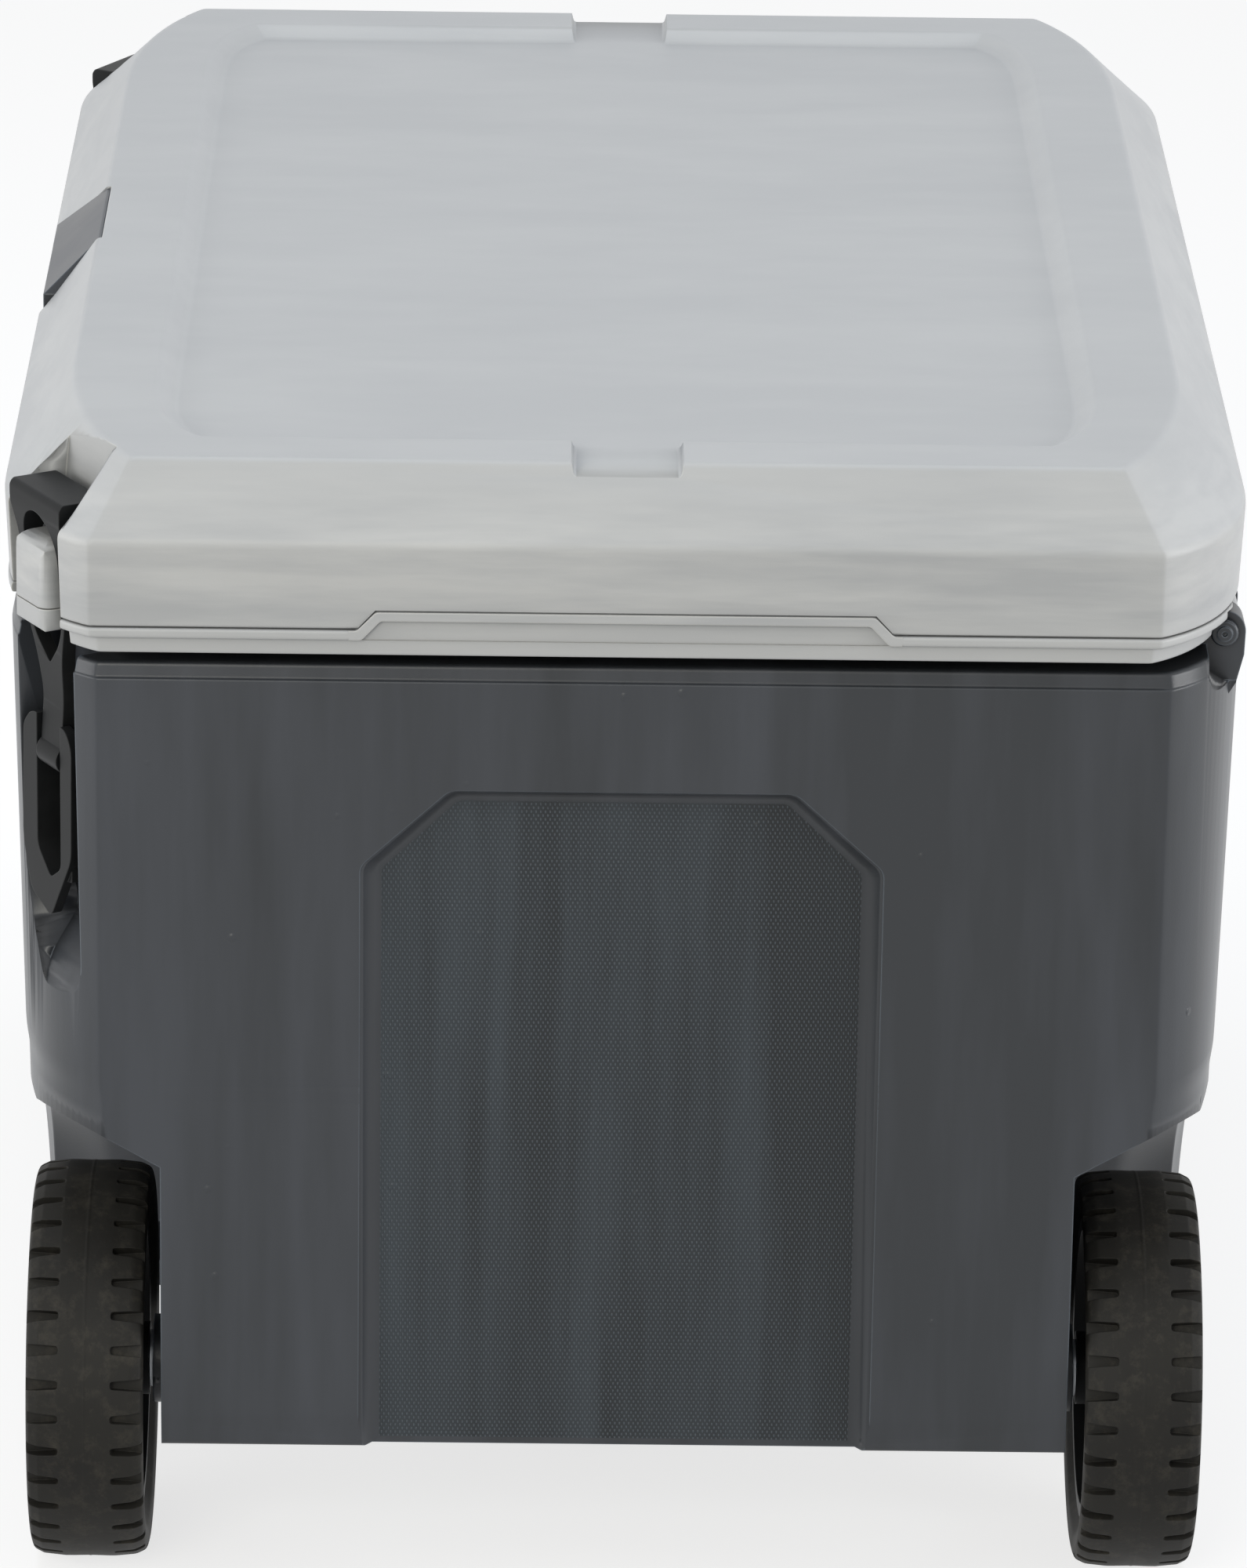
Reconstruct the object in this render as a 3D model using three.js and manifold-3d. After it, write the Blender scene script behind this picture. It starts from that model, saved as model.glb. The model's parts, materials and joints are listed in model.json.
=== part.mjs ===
// A wheeled picnic cooler: insulated tub, hinged two-shell lid, corner latches, two wheels on
// a steel axle and a telescoping tow handle. Millimetres, +Z up. The wheels are at the +X end,
// the latches on the front (-Y), the hinges at the rear (+Y), and the origin lies on the
// ground under the middle of the object's box.
import * as THREE from "three";
import { mergeVertices } from "three/addons/utils/BufferGeometryUtils.js";
import Module from "manifold-3d";

const wasm = await Module();
wasm.setup();

// ---------------------------------------------------------------- driving dimensions
const GAP = 0.3; // clearance between pieces that touch
const SHELL_WALL = 3;
const LINER_WALL = 2.5;

// tub
const BODY_HALF_LENGTH = 336; // at the top edge
const BODY_HALF_WIDTH = 229.8;
const BODY_HEIGHT = 315;
const GROUND_CLEARANCE = 67;
const CORNER_DEPTH = 33.1; // the flat end face stops this far short of the side
const BODY_EDGE = 5; // rounding of the top edge
const BODY_DRAFT = 0.0225; // slope of the walls
const LEDGE_HEIGHT = 149; // above the bottom; the sides step in below it
const LEDGE_DROP = 8;
const LEDGE_STEP = 1;
const BOTTOM_BEVEL_HEIGHT = 14;
const BOTTOM_BEVEL_INSET = 8;

// end panels and side panels
const PANEL_HALF_WIDTH = 96;
const PANEL_TOP_MARGIN = 49;
const PANEL_CHAMFER_Y = 32.5;
const PANEL_CHAMFER_Z = 30;
const PANEL_DEPTH = 5;
const SIDE_PANEL_HALF_LENGTH = 195;
const SIDE_PANEL_MARGIN = 44; // below the top edge
const SIDE_PANEL_HEIGHT = 102;
const SIDE_PANEL_DEPTH = 3;

// inside of the tub
const END_THICKNESS = 46;
const SIDE_THICKNESS = 43.8;
const BOTTOM_THICKNESS = 33;
const CAVITY_CORNER = 24;
const STEP_HEADROOM = 40; // from the roof of the wheel arch to the shelf over it
const STEP_THICKNESS = 26; // from the wall of the wheel arch to the shelf's side
const STEP_LENGTH = 162;
const FLANGE_WIDTH = 12;
const RIM_CORNER_RADIUS = 40;

// lid
const LID_OVERHANG_END = 6;
const LID_OVERHANG_SIDE = 0.7;
const LID_LIFT = 5; // between the tub's top edge and the lid
const LID_BASE_HEIGHT = 10.5;
const LID_WALL_HEIGHT = 32.5;
const LID_BEVEL_HEIGHT = 28;
const LID_BEVEL_END = 16;
const LID_BEVEL_SIDE = 23;
const LID_BEVEL_CORNER = 14;
const RIM_WIDTH_END = 25;
const RIM_WIDTH_SIDE = 31;
const RIM_WIDTH_CORNER = 24;
const TRAY_SLOPE = 11;
const TRAY_DEPTH = 5;
const NOTCH_HALF_WIDTH = 19.5;
const SEAM_STEP = 7;
const SEAM_STEP_HALF_WIDTH = 91;
const PLUG_CLEARANCE = 7;
const PLUG_DEPTH = 13;
const BEAD_HEIGHT = 3.8;
const LID_BASE_INSET = 6;
const PLATE_TOP_HALF_WIDTH = 36;
const PLATE_HALF_WIDTH = 50;
const PLATE_SPREAD_HEIGHT = 20;
const PLATE_LENGTH = 50;
const PLATE_THICKNESS = 3;

// hinges
const HINGE_INSET = 8.2; // from the tub's side to the hinge's axis
const EAR_RADIUS = 8;
const EAR_OUTER_INSET = 36; // from the tub's end to the outer ear
const EAR_THICKNESS = 14;
const LUG_RADIUS = 7;
const LUG_LENGTH = 27.4;
const HINGE_PIN_RADIUS = 3;
const PIN_HEAD_RADIUS = 5.2;
const PIN_POCKET_RADIUS = 6.5;
const PIN_POCKET_DROP = 12.5; // from the hinge's axis to the middle of the pocket's round foot
const REAR_EDGE_REACH = 2.9; // from the hinge's axis to the lid's lower rear edge

// latches, each in its own frame: x along its width, y inwards from its face, z up
const LATCH_INSET_END = 25.5;
const LATCH_INSET_SIDE = 12.8;
const LATCH_TURN = 30; // degrees from the front towards the end
const STRAP_WIDTH = 40;
const STRAP_BELOW_LID_TOP = 19;
const STRAP_DEPTH = 20;
const STRAP_THICKNESS = 5.5;
const STRAP_NARROWING = 3; // on each side, just under its lip
const STRAP_WAIST_HALF_WIDTH = 10;
const WINDOW_HALF_WIDTH = 13.4;
const WINDOW_BELOW_LID_TOP = 26.5;
const WINDOW_BELOW_BODY_TOP = 10;
const PIVOT_Y = 10;
const PIVOT_BELOW_BODY_TOP = 46;
const KNUCKLE_RADIUS = 6;
const KNUCKLE_HALF_WIDTH = 8;
const LATCH_PIN_RADIUS = 2.5;
const POCKET_HALF_WIDTH = 23.4;
const POCKET_DEPTH = 24;
const NUB_HALF_WIDTH = 12.5;
const NUB_BELOW_LID_TOP = 36;
const NUB_ABOVE_LID_BOTTOM = 1;
const NUB_REACH = 3; // how far it stands out past the strap
const BEZEL_HALF_WIDTH = 18.5;
const BEZEL_BELOW_BODY_TOP = 34;
const BEZEL_HEIGHT = 77;
const BEZEL_FACE = 5;
const BEZEL_WINDOW_HALF_WIDTH = 10.5;

// wheels
const WHEEL_RADIUS = 76;
const AXLE_INSET = 71; // from the tub's end to the axle
const TYRE_WIDTH = 44.5;
const TYRE_INSET = 52.3; // from the tub's side to the tyre's inner face
const WHEEL_SIDE_GAP = 6.5;
const WELL_CLEARANCE = 30;
const WELL_FLARE = 0.4876; // rise of the arch's roof towards the outside
const RIM_RADIUS = 58;
const AXLE_RADIUS = 5;
const TREAD_SLOTS = 36;
const SLOT_LENGTH = 13;
const SLOT_WIDTH = 4.4;
const SLOT_DEPTH = 3.6;
const CHANNEL_HALF_WIDTH = 12;

// tow handle
const TUBE_Y = 122;
const TUBE_STANDOFF = 18; // from the end face to the tube's axis
const OUTER_TUBE_RADIUS = 11;
const TUBE_WALL = 1.6;
const TUBE_FIT = 0.5; // radial play of one tube in the next
const OUTER_TUBE_LENGTH = 248;
const TUBE_TOP_MARGIN = 42; // from the outer tube's top to the tub's top
const TUBE_STEP = 6;
const GRIP_BELOW_BODY_TOP = 20;
const GRIP_HEIGHT = 22;
const GRIP_DEPTH = 22;
const GRIP_SOCKET = 12;
const BRACKET_HEIGHT = 22;
const LOWER_BRACKET_HEIGHT = 83; // above the tub's bottom
const SCREW_RADIUS = 3;
const SCREW_Y = 88;

// feet and drain
const FOOT_INSET_END = 40;
const FOOT_INSET_SIDE = 57.8;
const FOOT_HALF_LENGTH = 24;
const FOOT_HALF_WIDTH = 20;
const PAD_HEIGHT = 8;
const DRAIN_HEIGHT = 45; // above the tub's bottom
const DRAIN_RADIUS = 11;

// derived
const BODY_BOTTOM = GROUND_CLEARANCE;
const BODY_TOP = BODY_BOTTOM + BODY_HEIGHT;
const BODY_CORNER_Y = BODY_HALF_WIDTH - CORNER_DEPTH;
const LEDGE_TOP = BODY_BOTTOM + LEDGE_HEIGHT;
const PANEL_TOP = BODY_TOP - PANEL_TOP_MARGIN;
const SIDE_PANEL_TOP = BODY_TOP - SIDE_PANEL_MARGIN;
const SIDE_PANEL_BOTTOM = SIDE_PANEL_TOP - SIDE_PANEL_HEIGHT;
const CAVITY_HALF_LENGTH = BODY_HALF_LENGTH - END_THICKNESS;
const CAVITY_HALF_WIDTH = BODY_HALF_WIDTH - SIDE_THICKNESS;
const CAVITY_FLOOR = BODY_BOTTOM + BOTTOM_THICKNESS;
const RIM_HALF_LENGTH = CAVITY_HALF_LENGTH + LINER_WALL + FLANGE_WIDTH;
const RIM_HALF_WIDTH = CAVITY_HALF_WIDTH + LINER_WALL + FLANGE_WIDTH;
const LID_HALF_LENGTH = BODY_HALF_LENGTH + LID_OVERHANG_END;
const LID_HALF_WIDTH = BODY_HALF_WIDTH + LID_OVERHANG_SIDE;
const LID_CORNER_Y = BODY_CORNER_Y - 1;
const LID_BOTTOM = BODY_TOP + LID_LIFT;
const LID_SEAM = LID_BOTTOM + LID_BASE_HEIGHT;
const LID_SHOULDER = LID_SEAM + LID_WALL_HEIGHT;
const LID_TOP = LID_SHOULDER + LID_BEVEL_HEIGHT;
const LID_RIM_HALF_LENGTH = LID_HALF_LENGTH - LID_BEVEL_END;
const LID_RIM_HALF_WIDTH = LID_HALF_WIDTH - LID_BEVEL_SIDE;
const LID_RIM_CORNER_Y = LID_CORNER_Y - LID_BEVEL_CORNER;
const TRAY_HALF_LENGTH = LID_RIM_HALF_LENGTH - RIM_WIDTH_END;
const TRAY_HALF_WIDTH = LID_RIM_HALF_WIDTH - RIM_WIDTH_SIDE;
const TRAY_CORNER_Y = LID_RIM_CORNER_Y - RIM_WIDTH_CORNER;
const PLUG_HALF_LENGTH = CAVITY_HALF_LENGTH - PLUG_CLEARANCE;
const PLUG_HALF_WIDTH = CAVITY_HALF_WIDTH - PLUG_CLEARANCE;
const PLUG_BOTTOM = LID_BOTTOM - PLUG_DEPTH;
const PLATE_BOTTOM = LID_TOP - 1 - PLATE_LENGTH;
const HINGE_Y = BODY_HALF_WIDTH - HINGE_INSET;
const HINGE_Z = BODY_TOP + LID_LIFT;
const EAR_OUTER_X = BODY_HALF_LENGTH - EAR_OUTER_INSET;
const EAR_INNER_X = EAR_OUTER_X - 2 * EAR_THICKNESS - LUG_LENGTH - 2 * GAP;
const LATCH_X = BODY_HALF_LENGTH - LATCH_INSET_END;
const LATCH_Y = LATCH_INSET_SIDE - BODY_HALF_WIDTH;
const STRAP_TOP = LID_TOP - STRAP_BELOW_LID_TOP;
const WINDOW_TOP = LID_TOP - WINDOW_BELOW_LID_TOP;
const WINDOW_BOTTOM = BODY_TOP - WINDOW_BELOW_BODY_TOP;
const PIVOT_Z = BODY_TOP - PIVOT_BELOW_BODY_TOP;
const NUB_TOP = LID_TOP - NUB_BELOW_LID_TOP;
const NUB_BOTTOM = LID_BOTTOM + NUB_ABOVE_LID_BOTTOM;
const BEZEL_TOP = BODY_TOP - BEZEL_BELOW_BODY_TOP;
const BEZEL_TIP = BEZEL_TOP - BEZEL_HEIGHT;
const AXLE_X = BODY_HALF_LENGTH - AXLE_INSET;
const AXLE_Z = WHEEL_RADIUS;
const TYRE_INNER_Y = BODY_HALF_WIDTH - TYRE_INSET;
const TYRE_OUTER_Y = TYRE_INNER_Y + TYRE_WIDTH;
const WELL_WALL_Y = TYRE_INNER_Y - WHEEL_SIDE_GAP;
const WELL_RADIUS = WHEEL_RADIUS + WELL_CLEARANCE;
const STEP_TOP = AXLE_Z + WELL_RADIUS + STEP_HEADROOM;
const STEP_HALF_WIDTH = WELL_WALL_Y - STEP_THICKNESS;
const HANDLE_X = -(BODY_HALF_LENGTH + TUBE_STANDOFF);
const MIDDLE_TUBE_RADIUS = OUTER_TUBE_RADIUS - TUBE_WALL - TUBE_FIT;
const INNER_TUBE_RADIUS = MIDDLE_TUBE_RADIUS - TUBE_WALL - TUBE_FIT;
const OUTER_TUBE_TOP = BODY_TOP - TUBE_TOP_MARGIN;
const TUBE_BOTTOM = OUTER_TUBE_TOP - OUTER_TUBE_LENGTH;
const MIDDLE_TUBE_TOP = OUTER_TUBE_TOP + TUBE_STEP;
const GRIP_BOTTOM = BODY_TOP - GRIP_BELOW_BODY_TOP;
const FOOT_X = FOOT_INSET_END - BODY_HALF_LENGTH;
const FOOT_Y = BODY_HALF_WIDTH - FOOT_INSET_SIDE;
const DRAIN_Z = BODY_BOTTOM + DRAIN_HEIGHT;
const HANDLE_REACH = Math.max(GRIP_DEPTH / 2, OUTER_TUBE_RADIUS + 2.5) - HANDLE_X;
const CENTRE_SHIFT = (HANDLE_REACH - LID_HALF_LENGTH) / 2;

// ---------------------------------------------------------------- materials
const plastic = (color, roughness = 0.55) =>
  new THREE.MeshStandardMaterial({ color, roughness, metalness: 0 });
const lidGrey = plastic(0xc3c5c4);
const bodySlate = plastic(0x4a4f55);
const blackNylon = plastic(0x2b2c2d, 0.5);
const linerWhite = plastic(0xe9e9e4, 0.4);
const foamCream = plastic(0xe6d9ac, 0.9);
const rubberBlack = plastic(0x232322, 0.85);
const steel = new THREE.MeshStandardMaterial({ color: 0xb9bcc0, roughness: 0.35, metalness: 1 });
const aluminium = new THREE.MeshStandardMaterial({ color: 0xa9adb2, roughness: 0.4, metalness: 1 });

// ---------------------------------------------------------------- building helpers
// A closed geometry as a solid that manifold-3d can join and cut.
function solid(geometry) {
  const bare = geometry.index ? geometry.toNonIndexed() : geometry.clone();
  bare.deleteAttribute("normal");
  bare.deleteAttribute("uv");
  const merged = mergeVertices(bare, 1e-4);
  return new wasm.Manifold(
    new wasm.Mesh({
      numProp: 3,
      vertProperties: merged.attributes.position.array,
      triVerts: new Uint32Array(merged.index.array),
    }),
  );
}

function geometryOf(manifold) {
  const mesh = manifold.getMesh();
  const geometry = new THREE.BufferGeometry();
  geometry.setAttribute("position", new THREE.BufferAttribute(mesh.vertProperties, 3));
  geometry.setIndex(new THREE.BufferAttribute(mesh.triVerts, 1));
  geometry.computeVertexNormals();
  return geometry;
}

const join = (...solids) => solids.reduce((a, b) => a.add(b));
const cut = (base, ...tools) => tools.reduce((a, b) => a.subtract(b), base);

// Moves a geometry; a mirroring matrix also turns its faces round again.
function moved(geometry, matrix) {
  const result = (geometry.index ? geometry.toNonIndexed() : geometry.clone()).applyMatrix4(matrix);
  if (matrix.determinant() > 0) return result;
  const position = result.getAttribute("position");
  const corner = new THREE.Vector3();
  const other = new THREE.Vector3();
  for (let i = 0; i < position.count; i += 3) {
    corner.fromBufferAttribute(position, i);
    other.fromBufferAttribute(position, i + 1);
    position.setXYZ(i, other.x, other.y, other.z);
    position.setXYZ(i + 1, corner.x, corner.y, corner.z);
  }
  return result;
}

function box(low, high) {
  const size = high.map((value, i) => value - low[i]);
  const middle = high.map((value, i) => (value + low[i]) / 2);
  return new THREE.BoxGeometry(...size).translate(...middle);
}

// A polygon swept straight along an axis; its points are [y, z], [x, z] or [x, y].
function prism(axis, points, from, to) {
  const shape = new THREE.Shape(points.map(([u, v]) => new THREE.Vector2(u, v)));
  const made = new THREE.ExtrudeGeometry(shape, { depth: to - from, bevelEnabled: false });
  const x = new THREE.Vector3(1, 0, 0);
  const y = new THREE.Vector3(0, 1, 0);
  const z = new THREE.Vector3(0, 0, 1);
  if (axis === "z") return made.translate(0, 0, from);
  const frame = new THREE.Matrix4();
  if (axis === "x") return moved(made, frame.makeBasis(y, z, x)).translate(from, 0, 0);
  return moved(made, frame.makeBasis(x, z, y.negate())).translate(0, to, 0);
}

// A round bar along X, Y or Z.
function bar(axis, radius, from, to, centre, segments = 28) {
  const made = new THREE.CylinderGeometry(radius, radius, to - from, segments);
  if (axis === "x") made.rotateZ(-Math.PI / 2).translate((from + to) / 2, centre[0], centre[1]);
  if (axis === "y") made.translate(centre[0], (from + to) / 2, centre[1]);
  if (axis === "z") made.rotateX(Math.PI / 2).translate(centre[0], centre[1], (from + to) / 2);
  return made;
}

const CORNER_STEPS = 5;
const BODY_CORNER = { dx1: 11, dy1: 16, dx2: 34, dx3: 81 };
const RIM_CORNER = { dx1: 20, dy1: 12, dx2: 61, dx3: 126 };
const TRAY_CORNER = { dx1: 16, dy1: 15, dx2: 39, dx3: 79 };

// A plan outline: flat ends, and corners that turn in one long curve into the sides.
function outline(halfX, halfY, cornerY, corner) {
  const curve = new THREE.CubicBezierCurve(
    new THREE.Vector2(halfX, cornerY),
    new THREE.Vector2(halfX - corner.dx1, Math.min(cornerY + corner.dy1, halfY)),
    new THREE.Vector2(halfX - corner.dx2, halfY),
    new THREE.Vector2(halfX - corner.dx3, halfY),
  );
  const quarter = curve.getPoints(CORNER_STEPS).map((p) => [p.x, p.y]);
  const back = [...quarter].reverse();
  return [
    ...quarter,
    ...back.map(([x, y]) => [-x, y]),
    ...quarter.map(([x, y]) => [-x, -y]),
    ...back.map(([x, y]) => [x, -y]),
  ];
}

function roundedRectangle(halfX, halfY, radius, steps = 4) {
  const points = [];
  for (const [sx, sy, start] of [[1, 1, 0], [-1, 1, 90], [-1, -1, 180], [1, -1, 270]])
    for (let i = 0; i <= steps; i++) {
      const angle = THREE.MathUtils.degToRad(start + (90 * i) / steps);
      points.push([
        sx * (halfX - radius) + radius * Math.cos(angle),
        sy * (halfY - radius) + radius * Math.sin(angle),
      ]);
    }
  return points;
}

// A closed skin through outlines of equal count, each given as { z, points }, lowest first.
function loft(sections) {
  const count = sections[0].points.length;
  const vertices = sections.flatMap(({ z, points }) => points.map(([x, y]) => [x, y, z]));
  const faces = [];
  for (let level = 0; level < sections.length - 1; level++)
    for (let i = 0; i < count; i++) {
      const a = level * count + i;
      const b = level * count + ((i + 1) % count);
      faces.push([a, b, b + count], [a, b + count, a + count]);
    }
  const cap = (points) =>
    THREE.ShapeUtils.triangulateShape(points.map(([x, y]) => new THREE.Vector2(x, y)), []);
  const top = (sections.length - 1) * count;
  cap(sections[0].points).forEach(([a, b, c]) => faces.push([a, c, b]));
  cap(sections.at(-1).points).forEach(([a, b, c]) => faces.push([top + a, top + b, top + c]));
  const geometry = new THREE.BufferGeometry();
  geometry.setAttribute("position", new THREE.Float32BufferAttribute(vertices.flat(), 3));
  geometry.setIndex(faces.flat());
  return geometry;
}

const root = new THREE.Group();
root.position.x = CENTRE_SHIFT;

function add(name, shape, material) {
  const geometry = shape.isBufferGeometry ? geometryOf(solid(shape)) : geometryOf(shape);
  const mesh = new THREE.Mesh(geometry, material);
  mesh.name = name;
  root.add(mesh);
}

// The two ends and the two sides, by the names that pieces carry.
const ENDS = [{ name: "wheel_end", sign: 1 }, { name: "handle_end", sign: -1 }];
const SIDES = [{ name: "front", sign: -1 }, { name: "rear", sign: 1 }];
const mirrorX = (sign) => new THREE.Matrix4().makeScale(sign, 1, 1);
const mirrorY = (sign) => new THREE.Matrix4().makeScale(1, sign, 1);

// Places a latch piece on its corner.
function onCorner(geometry, sign) {
  const turn = new THREE.Matrix4().makeRotationZ(THREE.MathUtils.degToRad(LATCH_TURN));
  const place = new THREE.Matrix4().makeTranslation(LATCH_X, LATCH_Y, 0).multiply(turn);
  return solid(moved(geometry, mirrorX(sign).multiply(place)));
}

// ---------------------------------------------------------------- hollows shared by pieces
// Each takes grow: how far its walls stand outside the hollow itself.
function bodyBlock(inset, bottom, top) {
  const widthAt = (z) => BODY_HALF_WIDTH - (BODY_TOP - z) * BODY_DRAFT - inset;
  const lengthAt = (z) => BODY_HALF_LENGTH - (BODY_TOP - z) * BODY_DRAFT - inset;
  const section = (z, narrower, shorter) => ({
    z,
    points: outline(
      lengthAt(z) - shorter, widthAt(z) - narrower, BODY_CORNER_Y - narrower - inset / 2, BODY_CORNER,
    ),
  });
  const edge = inset ? 0 : BODY_EDGE;
  return loft([
    section(bottom, LEDGE_STEP + BOTTOM_BEVEL_INSET, BOTTOM_BEVEL_INSET),
    section(bottom + BOTTOM_BEVEL_HEIGHT, LEDGE_STEP, 0),
    section(LEDGE_TOP - LEDGE_DROP, LEDGE_STEP, 0),
    section(LEDGE_TOP, 0, 0),
    section(top - BODY_EDGE, 0, 0),
    section(top, edge, edge),
  ]);
}

function wheelWell(sign, grow = 0) {
  const inner = WELL_WALL_Y - grow;
  const far = BODY_HALF_WIDTH + 20;
  const radius = WELL_RADIUS + grow;
  const flared = radius + (far - WELL_WALL_Y) * WELL_FLARE;
  const roof = [[inner, -10], [inner, AXLE_Z + radius], [far, AXLE_Z + flared], [far, -10]];
  const cone = new THREE.LatheGeometry(
    [[0, inner], [radius, inner], [flared, far], [0, far]].map(([r, y]) => new THREE.Vector2(r, y)),
    32,
  ).translate(AXLE_X, 0, AXLE_Z);
  const mouth = prism("x", roof, AXLE_X, BODY_HALF_LENGTH + 20);
  return join(solid(moved(cone, mirrorY(sign))), solid(moved(mouth, mirrorY(sign))));
}

const axleChannel = (grow = 0) =>
  solid(
    box(
      [AXLE_X - CHANNEL_HALF_WIDTH - grow, -WELL_WALL_Y - 5, 0],
      [AXLE_X + CHANNEL_HALF_WIDTH + grow, WELL_WALL_Y + 5, AXLE_Z + CHANNEL_HALF_WIDTH + grow],
    ),
  );

// The recess in a corner of the tub in which a latch sits and hangs.
function latchPocket(sign, grow = 0) {
  const half = POCKET_HALF_WIDTH + grow;
  const high = BODY_TOP + 60;
  const low = BODY_TOP - 140 - grow;
  const face = [
    [half, high], [half, low + 12], [14.6, low], [-2.4, low + 6], [-10 - grow, low + 22],
    [-half + 2, BODY_TOP - 92], [-half, BODY_TOP - 82], [-half, high],
  ];
  const back = POCKET_DEPTH + grow;
  const side = [[-40, high], [-40, low - 32], [back, low + 28], [back, high]];
  const front = onCorner(prism("y", face, -40, back), sign);
  return front.intersect(onCorner(prism("x", side, -half - 1, half + 1), sign));
}

// The scoop in the lid above it, whose sides lean together towards the rim.
function latchScoop(sign, grow = 0) {
  const half = POCKET_HALF_WIDTH + grow;
  const bend = LID_TOP - 21;
  const top = LID_TOP + 2;
  const face = [
    [-half, BODY_TOP - 12], [half, BODY_TOP - 12], [half, bend], [half - 4.4, top], [-half + 4.4, top],
    [-half, bend],
  ];
  return onCorner(prism("y", face, -40, POCKET_DEPTH + 1 + grow), sign);
}

function cornerNub(sign, from, to) {
  const half = NUB_HALF_WIDTH;
  const soft = 6;
  const rear = POCKET_DEPTH - 4;
  const profile = [
    [-NUB_REACH, NUB_BOTTOM + soft], [-NUB_REACH + soft, NUB_BOTTOM], [rear, NUB_BOTTOM], [rear, LID_BOTTOM],
    [POCKET_DEPTH + 3, LID_BOTTOM], [POCKET_DEPTH + 3, NUB_TOP], [soft, NUB_TOP],
    [-NUB_REACH + 1.5, NUB_TOP - 4], [-NUB_REACH, NUB_TOP - 11],
  ];
  const plan = [
    [-half, POCKET_DEPTH + 6], [-half, 2], [-half + 5, -NUB_REACH], [half - 5, -NUB_REACH],
    [half, 2], [half, POCKET_DEPTH + 6],
  ];
  const crown = [[-half, from], [half, from], [half, to - 7], [half - 7, to], [-half + 7, to], [-half, to - 7]];
  const face = to < NUB_TOP ? [[-half, from], [half, from], [half, to], [-half, to]] : crown;
  return onCorner(prism("x", profile, -half, half), sign)
    .intersect(onCorner(prism("z", plan, from, to), sign))
    .intersect(onCorner(prism("y", face, -20, POCKET_DEPTH + 6), sign));
}

function endPanel(sign, grow = 0) {
  const edge = (inset) => [
    [-PANEL_HALF_WIDTH + inset, 0],
    [-PANEL_HALF_WIDTH + inset, PANEL_TOP - PANEL_CHAMFER_Z - inset * 0.4],
    [-PANEL_HALF_WIDTH + PANEL_CHAMFER_Y + inset * 0.4, PANEL_TOP - inset],
    [PANEL_HALF_WIDTH - PANEL_CHAMFER_Y - inset * 0.4, PANEL_TOP - inset],
    [PANEL_HALF_WIDTH - inset, PANEL_TOP - PANEL_CHAMFER_Z - inset * 0.4],
    [PANEL_HALF_WIDTH - inset, 0],
  ].reverse();
  const depth = PANEL_DEPTH + grow;
  const taper = loft([
    { z: -depth, points: edge(PANEL_DEPTH - grow) },
    { z: 2, points: edge(-2 - grow) },
  ]);
  const upright = new THREE.Matrix4().makeBasis(
    new THREE.Vector3(0, 1, 0), new THREE.Vector3(BODY_DRAFT, 0, 1), new THREE.Vector3(1, 0, 0),
  );
  upright.setPosition(BODY_HALF_LENGTH - BODY_TOP * BODY_DRAFT, 0, 0);
  return solid(moved(taper, mirrorX(sign).multiply(upright)));
}

function sidePanel(sign, grow = 0) {
  const half = SIDE_PANEL_HALF_LENGTH + grow;
  const low = SIDE_PANEL_BOTTOM - grow;
  const high = SIDE_PANEL_TOP + grow;
  const slope = PANEL_CHAMFER_Z;
  const face = [
    [-half + slope, low], [half - slope, low], [half, low + slope], [half, high - slope],
    [half - slope, high], [-half + slope, high], [-half, high - slope], [-half, low + slope],
  ];
  const depth = SIDE_PANEL_DEPTH + grow + 2;
  return solid(moved(prism("y", face, BODY_HALF_WIDTH - depth, BODY_HALF_WIDTH + 20), mirrorY(sign)));
}

// The gap between two hinge ears in which the lid's lug turns, and the pocket by the pin's head.
function hingeGap(sign, grow = 0) {
  const inner = EAR_INNER_X + EAR_THICKNESS - grow;
  const outer = EAR_OUTER_X - EAR_THICKNESS + grow;
  const radius = LUG_RADIUS + 1.5 + grow;
  const turning = bar("x", radius, inner, outer, [HINGE_Y, HINGE_Z]);
  const open = box([inner, HINGE_Y, HINGE_Z - radius], [outer, HINGE_Y + 30, HINGE_Z + 30]);
  return join(solid(moved(turning, mirrorX(sign))), solid(moved(open, mirrorX(sign))));
}

function pinPocket(sign, grow = 0) {
  const radius = PIN_POCKET_RADIUS + grow;
  const middle = HINGE_Z - PIN_POCKET_DROP;
  const near = EAR_OUTER_X - grow;
  const foot = bar("x", radius, near, LID_HALF_LENGTH, [HINGE_Y, middle]);
  const outside = box([near, HINGE_Y, middle - radius], [LID_HALF_LENGTH, HINGE_Y + 30, HINGE_Z + 30]);
  const upright = box([near, HINGE_Y - radius, middle], [LID_HALF_LENGTH, HINGE_Y + 30, HINGE_Z + 30]);
  return join(...[foot, outside, upright].map((part) => solid(moved(part, mirrorX(sign)))));
}

const drainBore = (radius) =>
  solid(bar("x", radius, -BODY_HALF_LENGTH - 5, -CAVITY_HALF_LENGTH + 20, [0, DRAIN_Z]));

function bodyHollows(grow = 0) {
  return [
    ...ENDS.flatMap(({ sign }) => [
      latchPocket(sign, grow), hingeGap(sign, grow), pinPocket(sign, grow), endPanel(sign, grow),
    ]),
    ...SIDES.flatMap(({ sign }) => [wheelWell(sign, grow), sidePanel(sign, grow)]),
    axleChannel(grow),
  ];
}

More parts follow.
